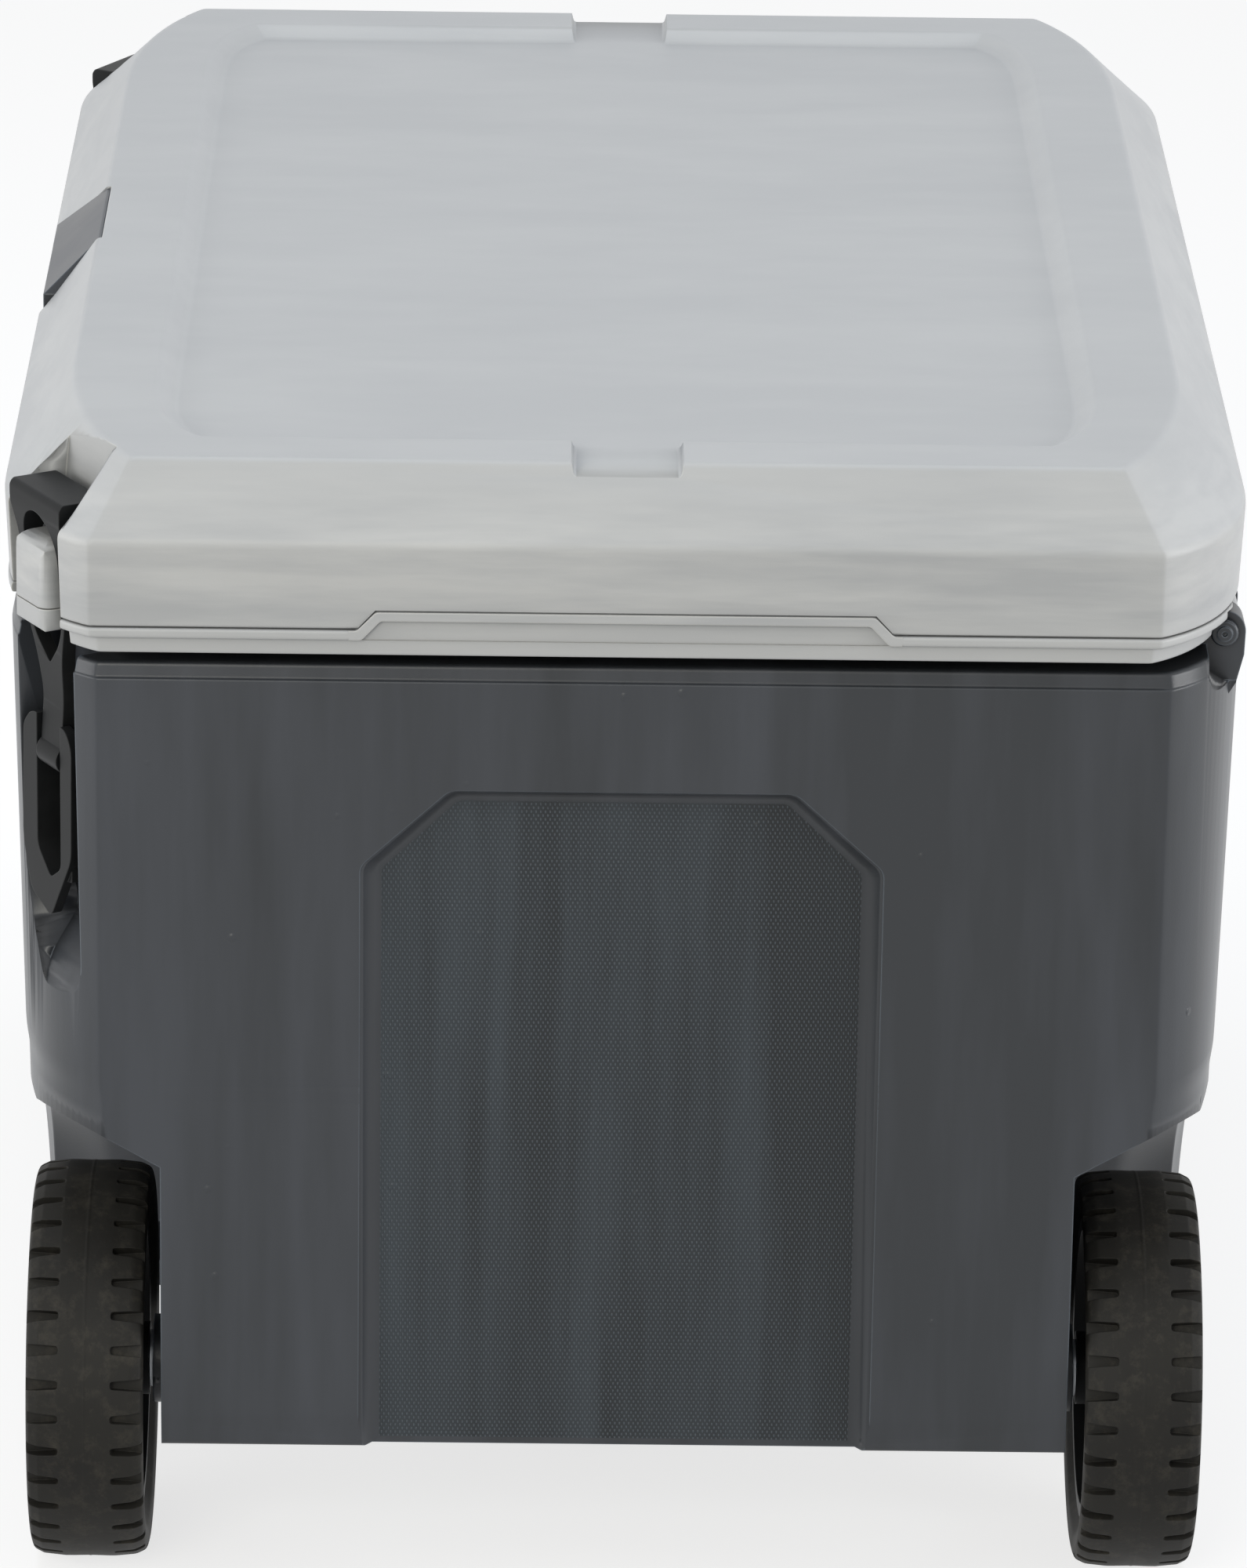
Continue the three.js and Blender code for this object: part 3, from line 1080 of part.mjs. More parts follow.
const brackets = [
  { name: "lower", z: BODY_BOTTOM + LOWER_BRACKET_HEIGHT },
  { name: "upper", z: OUTER_TUBE_TOP - BRACKET_HEIGHT - 4 },
];
for (const { name, z } of brackets) {
  add("handle_bracket_" + name, handleBracket(z), blackNylon);
  for (const side of SIDES)
    add("bracket_screw_" + name + "_" + side.name, bracketScrew(z, side.sign * SCREW_Y), steel);
}
for (const { name, sign } of SIDES) {
  const y = sign * TUBE_Y;
  add("outer_tube_" + name, tube(OUTER_TUBE_RADIUS, TUBE_BOTTOM, OUTER_TUBE_TOP, y), aluminium);
  add("middle_tube_" + name, tube(MIDDLE_TUBE_RADIUS, TUBE_BOTTOM + 2, MIDDLE_TUBE_TOP, y), aluminium);
  const innerTop = GRIP_BOTTOM + GRIP_SOCKET - GAP;
  add("inner_tube_" + name, tube(INNER_TUBE_RADIUS, TUBE_BOTTOM + 4, innerTop, y), aluminium);
}
add("handle_grip", grip(), blackNylon);

export default root;
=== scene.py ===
# %% [markdown]
# # A cooler on wheels
# A picnic cooler is a foam-filled tub with a foam-filled lid. Two wheels and a tow handle let
# one person pull it. This notebook dresses the engineering model with moulded edges, surface
# grain and soft studio light. Every length is written in millimetres and turned into metres
# where a mesh is made.

# %% Load the frame
import json
import math

import bmesh
import bpy
from mathutils import Matrix, Vector


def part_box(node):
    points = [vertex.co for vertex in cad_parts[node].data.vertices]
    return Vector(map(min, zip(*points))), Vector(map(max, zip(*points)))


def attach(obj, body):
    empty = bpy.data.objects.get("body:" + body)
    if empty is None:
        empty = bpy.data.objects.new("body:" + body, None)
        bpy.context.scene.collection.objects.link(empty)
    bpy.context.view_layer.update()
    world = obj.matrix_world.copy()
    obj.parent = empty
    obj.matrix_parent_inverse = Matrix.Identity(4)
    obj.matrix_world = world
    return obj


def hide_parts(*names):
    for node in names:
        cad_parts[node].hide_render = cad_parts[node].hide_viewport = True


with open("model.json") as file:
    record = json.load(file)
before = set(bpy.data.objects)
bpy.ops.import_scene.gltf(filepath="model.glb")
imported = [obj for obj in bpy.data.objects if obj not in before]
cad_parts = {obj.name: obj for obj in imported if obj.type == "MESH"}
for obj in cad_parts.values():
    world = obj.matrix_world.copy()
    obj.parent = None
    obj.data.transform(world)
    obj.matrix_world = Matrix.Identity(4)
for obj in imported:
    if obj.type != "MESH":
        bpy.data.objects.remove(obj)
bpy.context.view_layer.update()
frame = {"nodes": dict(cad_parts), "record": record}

MM = 0.001
lid_low, lid_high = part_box("lid_shell")
MIDDLE = (lid_low.x + lid_high.x) / 2 / MM
print("the lid's middle lies", round(MIDDLE, 2), "mm from the origin")

# %% [markdown]
# ## Camera
# A long lens far away keeps the box from looking stretched. The camera looks at the wheel end
# from a little above, so that the tray in the lid shows. Its axes are built by hand from three
# angles, because a product shot has to be level to a fraction of a degree.

# %% Camera
EYE = Vector((MIDDLE + 3360.66, -30.43, 1407.47)) * MM
PITCH, YAW, ROLL = (math.radians(a) for a in (19.4843, -0.5779, 0.8373))
FOCAL_LENGTH = 200.62  # mm, on a sensor as wide as a full-frame camera's
SENSOR_WIDTH = 36
FAR_CLIP = 50  # metres, well behind the floor's far edge

forward = Vector(
    (-math.cos(PITCH) * math.cos(YAW), -math.cos(PITCH) * math.sin(YAW), -math.sin(PITCH))
)
level = forward.cross(Vector((0, 0, 1))).normalized()
upright = level.cross(forward)
right = math.cos(ROLL) * level + math.sin(ROLL) * upright
up = -math.sin(ROLL) * level + math.cos(ROLL) * upright

camera_data = bpy.data.cameras.new("camera")
camera_data.lens = FOCAL_LENGTH
camera_data.sensor_width = SENSOR_WIDTH
camera_data.clip_end = FAR_CLIP
camera = bpy.data.objects.new("camera", camera_data)
bpy.context.scene.collection.objects.link(camera)
turn = Matrix((right, up, -forward)).transposed().to_4x4()
camera.matrix_world = Matrix.Translation(EYE) @ turn
bpy.context.scene.camera = camera
print("camera at", [round(v, 3) for v in EYE])

# %% [markdown]
# ## Colour and node helpers
# Colours are written as the sRGB hex values that a designer would pick, and one function turns
# them into the linear values that the renderer works with. Materials are trees of nodes, so a
# second function adds one node with its settings, its values and its links.

# %% Colour and node helpers
def linear(hex_colour):
    """An sRGB hex colour as linear red, green, blue and alpha."""
    channels = [int(hex_colour[i : i + 2], 16) / 255 for i in (1, 3, 5)]
    return tuple(
        c / 12.92 if c <= 0.04045 else ((c + 0.055) / 1.055) ** 2.4 for c in channels
    ) + (1.0,)


def add(tree, kind, links=None, **settings):
    """Adds a node to a tree, with its settings, its values and its links."""
    made = tree.nodes.new(kind)
    for name, value in settings.items():
        setattr(made, name, value)
    for name, value in (links or {}).items():
        if isinstance(value, bpy.types.NodeSocket):
            tree.links.new(value, made.inputs[name])
        else:
            made.inputs[name].default_value = value
    return made


def new_material(name):
    """A material with an empty tree, its output, and the object's own coordinates."""
    material = bpy.data.materials.new(name)
    material.use_nodes = True
    tree = material.node_tree
    tree.nodes.clear()
    place = add(tree, "ShaderNodeTexCoord").outputs["Object"]
    return material, tree, place


# %% [markdown]
# ## Light
# A pale object wants a bright, even room: a white world, one wide softbox above and weaker
# ones at the front and sides. The world shows white to the camera and in reflections, while
# what it sheds on the object is kept lower, so that the lamps can shape the form.

# %% Light
WHITE = (1, 1, 1, 1)
WORLD_SEEN = 1.0  # strength of the white that the camera and the reflections see
WORLD_LIGHT = 0.4  # strength of what it sheds on the object
LAMPS = [
    # name, place in metres, aimed at, side of the square in metres, watts, tint
    ("softbox above", (0.1, 0.0, 2.7), (0.0, 0.0, 0.4), 1.9, 20, "#E6F1FF"),
    ("softbox front", (3.2, -0.9, 1.5), (0.3, 0.0, 0.25), 1.3, 35, "#FFFCF0"),
    ("softbox left", (0.6, -2.2, 0.62), (0.1, 0.0, 0.2), 1.1, 15, "#FFFFFF"),
    ("softbox right", (0.6, 2.2, 0.62), (0.1, 0.0, 0.2), 1.1, 22, "#FFFFFF"),
]


def seen_directly(tree):
    """1 where a surface is seen by the camera, in a gloss or through glass, otherwise 0."""
    path = add(tree, "ShaderNodeLightPath")
    either = add(tree, "ShaderNodeMath", {0: path.outputs["Is Camera Ray"],
                 1: path.outputs["Is Glossy Ray"]}, operation="MAXIMUM")
    return add(tree, "ShaderNodeMath", {0: either.outputs[0],
               1: path.outputs["Is Transmission Ray"]}, operation="MAXIMUM").outputs[0]


world = bpy.data.worlds.new("studio")
world.use_nodes = True
bpy.context.scene.world = world
tree = world.node_tree
tree.nodes.clear()
strength = add(tree, "ShaderNodeMapRange", {"Value": seen_directly(tree), "To Min": WORLD_LIGHT,
               "To Max": WORLD_SEEN})
background = add(tree, "ShaderNodeBackground", {"Color": WHITE,
                 "Strength": strength.outputs["Result"]})
add(tree, "ShaderNodeOutputWorld", {"Surface": background.outputs[0]})

for name, place, target, side, watts, tint in LAMPS:
    data = bpy.data.lights.new(name, "AREA")
    data.size = side
    data.energy = watts
    data.color = linear(tint)[:3]
    lamp = bpy.data.objects.new(name, data)
    lamp.location = place
    lamp.rotation_euler = (Vector(target) - Vector(place)).to_track_quat("-Z", "Y").to_euler()
    bpy.context.scene.collection.objects.link(lamp)

bpy.context.scene.view_settings.view_transform = "Standard"
print(len(LAMPS), "lamps")

# %% [markdown]
# ## Building blocks of a finish
# A finish starts from what the real part is made of and how it was made. Three small functions
# stand for what every finish repeats: stretching a value to another range, mixing two colours
# and doing a sum.

# %% Building blocks of a finish
def spread(tree, value, low, high, to_low=0.0, to_high=1.0, shape="LINEAR"):
    """A value taken from one range to another."""
    return add(tree, "ShaderNodeMapRange", {"Value": value, "From Min": low, "From Max": high,
               "To Min": to_low, "To Max": to_high}, interpolation_type=shape).outputs[0]


def mixed(tree, factor, one, other):
    """Two colours, or what makes them, mixed by a factor."""
    return add(tree, "ShaderNodeMix", {"Factor": factor, 6: one, 7: other},
               data_type="RGBA").outputs[2]


def calculated(tree, operation, *values):
    """The result of a sum on numbers or on what makes them."""
    return add(tree, "ShaderNodeMath", dict(enumerate(values)), operation=operation).outputs[0]


# %% [markdown]
# ### Flow marks and dots
# The melt that fills a large mould leaves cloudy marks, drawn out into streaks the way it
# flowed. The sunk panels at the ends carry small knurled dots in staggered rows, which two
# crossed sine waves draw: where both are high together, or low together, there is a dot.

# %% Flow marks and dots
STREAKS_FINER = 4.5  # streaks are this much finer than the clouds
STREAKS_SHARE = 0.45  # and this much weaker


def flow_marks(tree, place, stretch, size):
    """Broad clouds and finer streaks, both drawn out the way the melt flowed."""
    flow = add(tree, "ShaderNodeMapping", {"Vector": place, "Scale": stretch})
    clouds = add(tree, "ShaderNodeTexNoise", {"Vector": flow.outputs[0], "Scale": 1 / (size * MM),
                 "Detail": 3.0, "Roughness": 0.55, "Distortion": 0.5})
    streaks = add(tree, "ShaderNodeTexNoise", {"Vector": flow.outputs[0],
                  "Scale": STREAKS_FINER / (size * MM), "Detail": 3.0, "Roughness": 0.6})
    both = calculated(tree, "MULTIPLY_ADD", streaks.outputs["Fac"], STREAKS_SHARE,
                      clouds.outputs["Fac"])
    return spread(tree, both, 0.56, 0.9)


def dot_field(tree, place, across, along):
    """Round dots in staggered rows. across and along are the pitches in mm."""
    parts = add(tree, "ShaderNodeSeparateXYZ", {"Vector": place})
    rows, columns = (
        calculated(tree, "SINE", calculated(tree, "MULTIPLY", parts.outputs[axis],
                   math.pi / (pitch * MM)))
        for axis, pitch in (("Z", along), ("Y", across))
    )
    return spread(tree, calculated(tree, "MULTIPLY", rows, columns), 0.15, 0.75, shape="SMOOTHSTEP")


# %% [markdown]
# ### Moulded plastic
# Polyethylene and nylon come out of a mould whose steel was spark-eroded, so they have a fine
# dull grain, about half a millimetre across, and here and there a small pimple. A bevel node
# rounds the light at the edges, and the same node tells where an edge is, convex or sunk, which
# gets a paler tone there: a painted highlight. An ambient occlusion node finds the grooves and
# corners, and a darker tone is painted there as shade.

# %% Moulded plastic
PIP_PITCH = 26  # mm between the pimples of the mould
PIP_HEIGHT = 9.0  # of a pimple and of a dot, in heights of the grain
DOT_HEIGHT = 4.0
# Painted shade: the dark tone that is mixed into grooves and corners.
CREVICE_SHADE_TONE = "#0E1012"
CREVICE_REACH = 11  # mm from a wall within which the painted shade reaches
CALM_ABOVE = (-22, 6)  # mm from the height of calm, where the marks fade on the way up
CALM_BELOW = (-54, -44)  # and on the way down
DUST_SIZE = 9  # mm, the broadest patches of dust


def moulded(name, colour, cloud, rough, grain=0.7, depth=0.03, stretch=(1, 1, 1), edge=1.0,
            gloss=0.5, edge_highlight=None, dust=None, dots=None, pips=0.0, size=42, calm=None, crevice_shade=0.0):
    """A moulded plastic. colour and cloud are the two tones of its flow marks, rough how dull it
    is, grain and depth the size and height of its surface grain in mm, stretch the way the melt
    flowed, edge the radius of its edges in mm, gloss the strength of its reflections, worn the
    tone of a painted highlight along its edges, dust that of what lies on it, dots the two pitches
    and the tone of its knurling, pips how strongly the mould's pimples show, size that of the flow
    marks in mm, calm the height in mm where they fade, and crevice how much painted shade darkens
    its grooves and corners."""
    material, tree, place = new_material(name)
    marks = flow_marks(tree, place, stretch, size)
    if calm:
        height = add(tree, "ShaderNodeSeparateXYZ", {"Vector": place}).outputs["Z"]
        above = [(calm + step) * MM for step in CALM_ABOVE]
        below = [(calm + step) * MM for step in CALM_BELOW]
        share = calculated(tree, "MULTIPLY", spread(tree, height, *above, 1.0, 0.35),
                           spread(tree, height, *below, 0.3, 1.0))
        offset = calculated(tree, "MULTIPLY_ADD", share, -0.5, 0.5)
        marks = calculated(tree, "MULTIPLY_ADD", marks, share, offset)
    shade = mixed(tree, marks, linear(cloud), linear(colour))
    fine = add(tree, "ShaderNodeTexNoise", {"Vector": place, "Scale": 1 / (grain * MM),
               "Detail": 2.0, "Roughness": 0.6})
    relief = fine.outputs["Fac"]
    if dots:
        across, along, tone = dots
        field = dot_field(tree, place, across, along)
        shade = mixed(tree, calculated(tree, "MULTIPLY", field, 0.5), shade, linear(tone))
        relief = calculated(tree, "MULTIPLY_ADD", field, DOT_HEIGHT, relief)
    if pips:
        cells = add(tree, "ShaderNodeTexVoronoi", {"Vector": place, "Scale": 1 / (PIP_PITCH * MM)})
        pimple = spread(tree, cells.outputs["Distance"], 0.02, 0.08, 1.0, 0.0, "SMOOTHSTEP")
        relief = calculated(tree, "MULTIPLY_ADD", pimple, PIP_HEIGHT * pips, relief)
    # Painted shade: where the ambient occlusion node finds walls close by, the colour is darkened
    # towards the dark tone.
    if crevice_shade:
        open_air = add(tree, "ShaderNodeAmbientOcclusion", {"Distance": CREVICE_REACH * MM},
                       samples=6)
        deep = spread(tree, open_air.outputs["AO"], 0.5, 0.95, crevice_shade, 0.0)
        shade = mixed(tree, deep, shade, linear(CREVICE_SHADE_TONE))
    rounded_edge = add(tree, "ShaderNodeBevel", {"Radius": edge * MM}, samples=8)
    bump = add(tree, "ShaderNodeBump", {"Height": relief, "Distance": depth * MM,
               "Strength": 1.0, "Normal": rounded_edge.outputs[0]})
    # Painted highlight: where the bevel normal turns away from the face's own normal, at every
    # edge, convex or sunk, a paler tone is mixed in.
    if edge_highlight:
        straight = add(tree, "ShaderNodeNewGeometry").outputs["Normal"]
        turn = add(tree, "ShaderNodeVectorMath", {0: straight, 1: rounded_edge.outputs[0]},
                   operation="DOT_PRODUCT").outputs["Value"]
        shade = mixed(tree, spread(tree, turn, 0.995, 0.88, 0.0, 0.7), shade, linear(edge_highlight))
    if dust:
        specks = add(tree, "ShaderNodeTexNoise", {"Vector": place, "Scale": 1 / (DUST_SIZE * MM),
                     "Detail": 9.0, "Roughness": 0.75})
        dusty = spread(tree, specks.outputs["Fac"], 0.5, 0.8, 0.0, 0.6)
        shade = mixed(tree, dusty, shade, linear(dust))
    surface = add(tree, "ShaderNodeBsdfPrincipled", {"Base Color": shade,
                  "Roughness": spread(tree, marks, 0.0, 1.0, rough - 0.04, rough + 0.05),
                  "Normal": bump.outputs[0], "IOR": 1.5, "Specular IOR Level": gloss})
    add(tree, "ShaderNodeOutputMaterial", {"Surface": surface.outputs[0]})
    return material


# %% [markdown]
# ### The plastics of this cooler
# The lid and the tub are injection-moulded polyethylene in two greys, and the liner is white.
# The latches and the handle's fittings are glass-filled nylon. The tyres are dusty.

# %% The plastics of this cooler
# The worn tones below are painted highlights along the edges, and crevice sets how much painted
# shade darkens the grooves.
lid_polyethylene = moulded("light grey polyethylene, spark-eroded mould", "#C9CACA", "#B4B6B8",
                           grain=0.8, depth=0.03, rough=0.42, stretch=(0.3, 0.1, 1), edge=0.9,
                           edge_highlight="#DCDCD8", size=22, calm=448, crevice_shade=0.3)
tub_polyethylene = moulded("slate polyethylene, spark-eroded mould", "#43464C", "#323539",
                           grain=0.7, depth=0.03, rough=0.33, stretch=(1, 1, 0.12), edge=0.9,
                           gloss=0.4, edge_highlight="#737C86", pips=1.3, size=70, crevice_shade=0.75)
dotted_polyethylene = moulded("slate polyethylene, knurled mould", "#3D444A", "#1C2023",
                              depth=0.05, rough=0.36, stretch=(1, 1.1, 0.1), edge=0.4, gloss=0.35,
                              pips=0.7, dots=(0.875, 1.5, "#666F77"), size=75, crevice_shade=0.75)
black_nylon = moulded("glass-filled nylon, moulded", "#262728", "#1C1D1E", grain=0.6, depth=0.02,
                      rough=0.45, edge=0.7, gloss=0.13, edge_highlight="#404142", crevice_shade=0.6)
tyre_rubber = moulded("moulded tyre rubber", "#262522", "#1D1C1A", grain=1.1, depth=0.05,
                      rough=0.6, edge=0.5, gloss=0.2, dust="#4F4B43")
seal_rubber = moulded("extruded seal rubber", "#1D1D1D", "#171717", rough=0.6, edge=0.4, gloss=0.2)
liner_polyethylene = moulded("white polyethylene, polished mould", "#E6E6E1", "#DEDED8",
                             grain=1.6, depth=0.01, rough=0.28, edge=1.5)
rigid_foam = moulded("polyurethane foam", "#E9DDB4", "#DCCB96", grain=1.2, depth=0.2, rough=0.9)

# %% [markdown]
# ### Metal
# The axle and the screws are zinc-plated steel, and the handle's tubes are anodised aluminium.
# Both are turned or drawn, so fine scratches run along them.

# %% Metal
SCRATCH_SIZE = 0.5  # mm across a scratch
SCRATCH_DEPTH = 0.01


def drawn_metal(name, colour, rough, stretch):
    """A bare metal whose scratches run along one axis, the one with the small stretch."""
    material, tree, place = new_material(name)
    along = add(tree, "ShaderNodeMapping", {"Vector": place, "Scale": stretch})
    scratches = add(tree, "ShaderNodeTexNoise", {"Vector": along.outputs[0],
                    "Scale": 1 / (SCRATCH_SIZE * MM), "Detail": 3.0})
    gloss = add(tree, "ShaderNodeMapRange", {"Value": scratches.outputs["Fac"],
                "To Min": rough - 0.06, "To Max": rough + 0.1})
    bump = add(tree, "ShaderNodeBump", {"Height": scratches.outputs["Fac"],
               "Distance": SCRATCH_DEPTH * MM})
    surface = add(tree, "ShaderNodeBsdfPrincipled", {"Base Color": linear(colour), "Metallic": 1.0,
                  "Roughness": gloss.outputs[0], "Normal": bump.outputs[0]})
    add(tree, "ShaderNodeOutputMaterial", {"Surface": surface.outputs[0]})
    return material


zinc_steel = drawn_metal("zinc-plated steel", "#C4C8CC", 0.34, (1, 0.05, 1))
anodised_aluminium = drawn_metal("anodised aluminium, drawn", "#AEB3B8", 0.36, (1, 1, 0.04))

# %% [markdown]
# ## Finishes for the model's own parts
# Parts whose shape is already right keep it, and take the finish that the record names for them.
# A small geometry-node group welds their facets and smooths shallow edges, so that tubes lose
# their flat strips.

# %% Dress the model's parts
FINISH = {
    "lid_plastic": lid_polyethylene,
    "tub_plastic": tub_polyethylene,
    "black_nylon": black_nylon,
    "liner_plastic": liner_polyethylene,
    "foam": rigid_foam,
    "tyre_rubber": tyre_rubber,
    "soft_rubber": seal_rubber,
    "steel": zinc_steel,
    "anodised_aluminium": anodised_aluminium,
}

WELD = 0.01  # mm within which two vertices are the same one
ROUND_BELOW = 32  # degrees between two facets of a round form

weld = bpy.data.node_groups.new("weld and smooth", "GeometryNodeTree")
weld.interface.new_socket("Geometry", in_out="INPUT", socket_type="NodeSocketGeometry")
weld.interface.new_socket("Geometry", in_out="OUTPUT", socket_type="NodeSocketGeometry")
source = add(weld, "NodeGroupInput")
merged = add(weld, "GeometryNodeMergeByDistance", {"Geometry": source.outputs[0],
             "Distance": WELD * MM})
angle = add(weld, "GeometryNodeInputMeshEdgeAngle")
gentle = add(weld, "FunctionNodeCompare", {0: angle.outputs[0], 1: math.radians(ROUND_BELOW)},
             data_type="FLOAT", operation="LESS_THAN")
faces_smooth = add(weld, "GeometryNodeSetShadeSmooth", {"Geometry": merged.outputs[0]},
                   domain="FACE")
edges_smooth = add(weld, "GeometryNodeSetShadeSmooth", {"Geometry": faces_smooth.outputs[0],
                   "Shade Smooth": gentle.outputs[0]}, domain="EDGE")
add(weld, "NodeGroupOutput", {"Geometry": edges_smooth.outputs[0]})

SLOT_OF = {s["node"]: s["material_slot"] for s in frame["record"]["subparts"]}
for name, part in frame["nodes"].items():
    finish = FINISH[SLOT_OF[name]]
    if not part.material_slots:
        part.data.materials.append(finish)
    for slot in part.material_slots:
        slot.link = "OBJECT"
        slot.material = finish
    smooth = part.modifiers.new("weld and smooth", "NODES")
    smooth.node_group = weld
print(len(frame["nodes"]), "parts dressed")

# %% [markdown]
# ## Modelling helpers
# Most pieces start as a loft: outlines of equal point count, one above the other. Each upright
# row of points is softened where it turns, which gives the rounded edges that a mould needs.
# Openings are then cut with booleans.

# %% Points and outlines
def soften(points, cuts, steps):
    """A row of points with each inner corner replaced by a short curve that starts cut mm
    before it."""
    row = [points[0]]
    for before, point, after, cut in zip(points, points[1:], points[2:], cuts):
        if cut == 0:
            row.append(point)
            continue
        start = point + (before - point) * min(cut / max((before - point).length, 1e-6), 0.48)
        end = point + (after - point) * min(cut / max((after - point).length, 1e-6), 0.48)
        for step in range(steps + 1):
            t = step / steps
            row.append(start * (1 - t) ** 2 + point * (2 * t * (1 - t)) + end * t**2)
    return row + [points[-1]]


CORNER_STEPS = 18  # points along the long curve of a corner
# Steps in x, y, x and x from an end's last point to the first handle of a corner's curve, to its
# second handle and to where it meets the side.
TUB_CORNER = (11, 16, 34, 81)
RIM_CORNER = (20, 12, 61, 126)
TRAY_CORNER = (16, 15, 39, 79)


def ring(z, half_x, half_y, corner_y, corner=TUB_CORNER, vertex=3):
    """The outline at one height: flat ends, a soft vertex, and a long curve into the sides.
    half_y and corner_y are one value, or a pair for the front and the rear."""
    dx1, dy1, dx2, dx3 = corner

    def quarter(side_y, end_y):
        handles = [Vector(p) for p in ((half_x, end_y), (half_x - dx1, min(end_y + dy1, side_y)),
                   (half_x - dx2, side_y), (half_x - dx3, side_y))]

        def curve(t):
            weights = ((1 - t) ** 3, 3 * t * (1 - t) ** 2, 3 * t**2 * (1 - t), t**3)
            return sum((h * w for h, w in zip(handles, weights)), Vector((0, 0)))

        first = vertex / (3 * (handles[1] - handles[0]).length)
        turn = soften([Vector((half_x, end_y - vertex * 1.01)), handles[0], curve(first)],
                      [vertex], 4)[2:-2]
        bend = [curve(first + (1 - first) * i / CORNER_STEPS) for i in range(CORNER_STEPS + 1)]
        return [Vector((half_x, end_y - vertex))] + turn + bend

    sides = half_y if isinstance(half_y, tuple) else (half_y, half_y)
    ends = corner_y if isinstance(corner_y, tuple) else (corner_y, corner_y)
    front, rear = (quarter(side, end) for side, end in zip(sides, ends))
    plan = ([(p.x, p.y) for p in rear] + [(-p.x, p.y) for p in rear[::-1]]
            + [(-p.x, -p.y) for p in front] + [(p.x, -p.y) for p in front[::-1]])
    return [Vector((x, y, z)) for x, y in plan]


def round_ring(z, half_x, half_y, radius, steps=10):
    """The outline at one height of a plain box with round corners."""
    points = []
    for sx, sy, start in ((1, 1, 0), (-1, 1, 90), (-1, -1, 180), (1, -1, 270)):
        for i in range(steps + 1):
            angle = math.radians(start + 90 * i / steps)
            points.append(Vector((sx * (half_x - radius) + radius * math.cos(angle),
                                  sy * (half_y - radius) + radius * math.sin(angle), z)))
    return points


def rounded(polygon, radius, steps=5):
    """A flat polygon with its corners rounded. radius is one value, or one per corner."""
    radii = radius if isinstance(radius, (list, tuple)) else [radius] * len(polygon)
    points = [Vector(p) for p in polygon]
    out = []
    for i, point in enumerate(points):
        if radii[i] == 0:
            out.append(tuple(point))
            continue
        corner = soften([points[i - 1], point, points[(i + 1) % len(points)]], [radii[i]], steps)
        out += [tuple(p) for p in corner[1:-1]]
    return out


# %% Meshes
HOLDING = bpy.context.scene.collection


def weld_close(mesh, distance):
    """Merges the vertices of a mesh that lie within a distance in mm of each other."""
    shape = bmesh.new()
    shape.from_mesh(mesh)
    bmesh.ops.remove_doubles(shape, verts=shape.verts, dist=distance * MM)
    shape.to_mesh(mesh)
    shape.free()


def mesh_object(name, vertices, faces, matrix):
    """A closed mesh from millimetres about the lid's middle, with all faces pointing out."""
    mesh = bpy.data.meshes.new(name)
    place = Matrix.Translation((MIDDLE, 0, 0)) @ (matrix or Matrix.Identity(4))
    mesh.from_pydata([tuple((place @ Vector(v)) * MM) for v in vertices], [], faces)
    shape = bmesh.new()
    shape.from_mesh(mesh)
    bmesh.ops.remove_doubles(shape, verts=shape.verts, dist=0.001 * MM)
    bmesh.ops.recalc_face_normals(shape, faces=shape.faces)
    shape.to_mesh(mesh)
    shape.free()
    made = bpy.data.objects.new(name, mesh)
    HOLDING.objects.link(made)
    return made


def loft(name, rows, cuts=None, steps=4, matrix=None):
    """A closed skin through rings of equal count, softened by cuts mm where rows turn."""
    cuts = cuts or [0] * (len(rows) - 2)
    columns = [soften(list(column), cuts, steps) for column in zip(*rows)]
    count, levels = len(columns), len(columns[0])
    vertices = [column[level] for level in range(levels) for column in columns]
    faces = [(a + i, a + (i + 1) % count, a + count + (i + 1) % count, a + count + i)
             for a in range(0, (levels - 1) * count, count) for i in range(count)]
    faces.append(tuple(range(count))[::-1])
    faces.append(tuple(range((levels - 1) * count, levels * count)))
    return mesh_object(name, vertices, faces, matrix)


def prism(name, axis, polygon, low, high, matrix=None):
    """A flat polygon swept along x, y or z. Its points are (y, z), (x, z) or (x, y)."""
    order = {"x": lambda u, v, w: (w, u, v), "y": lambda u, v, w: (u, w, v),
             "z": lambda u, v, w: (u, v, w)}[axis]
    rows = [[Vector(order(*point, level)) for point in polygon] for level in (low, high)]
    return loft(name, rows, matrix=matrix)


def rod(name, axis, radius, low, high, centre, matrix=None, sides=48):
    """A round bar along x, y or z, about a centre in the other two."""
    circle = [(centre[0] + radius * math.cos(2 * math.pi * i / sides),
               centre[1] + radius * math.sin(2 * math.pi * i / sides)) for i in range(sides)]
    return prism(name, axis, circle, low, high, matrix)

# %% Booleans
def settle(piece):
    """Turns the piece's modifiers into its mesh."""
    graph = bpy.context.evaluated_depsgraph_get()
    mesh = bpy.data.meshes.new_from_object(piece.evaluated_get(graph))
    piece.modifiers.clear()
    piece.data = mesh


def combine(piece, tools, operation="DIFFERENCE"):
    """Cuts the tools out of the piece, or joins them to it, and throws the tools away."""
    for tool in tools:
        step = piece.modifiers.new(tool.name, "BOOLEAN")
        step.object = tool
        step.operation = operation
        step.solver = "EXACT"
    settle(piece)
    for tool in tools:
        bpy.data.objects.remove(tool)
    return piece


def core_of(node):
    """A copy of a CAD part's solid, to be used as a cutter."""
    copy = bpy.data.objects.new("core", frame["nodes"][node].data.copy())
    weld_close(copy.data, WELD)
    HOLDING.objects.link(copy)
    return copy

# %% Finished pieces
SHARP_ABOVE = 34  # degrees between two faces that meet in a real edge


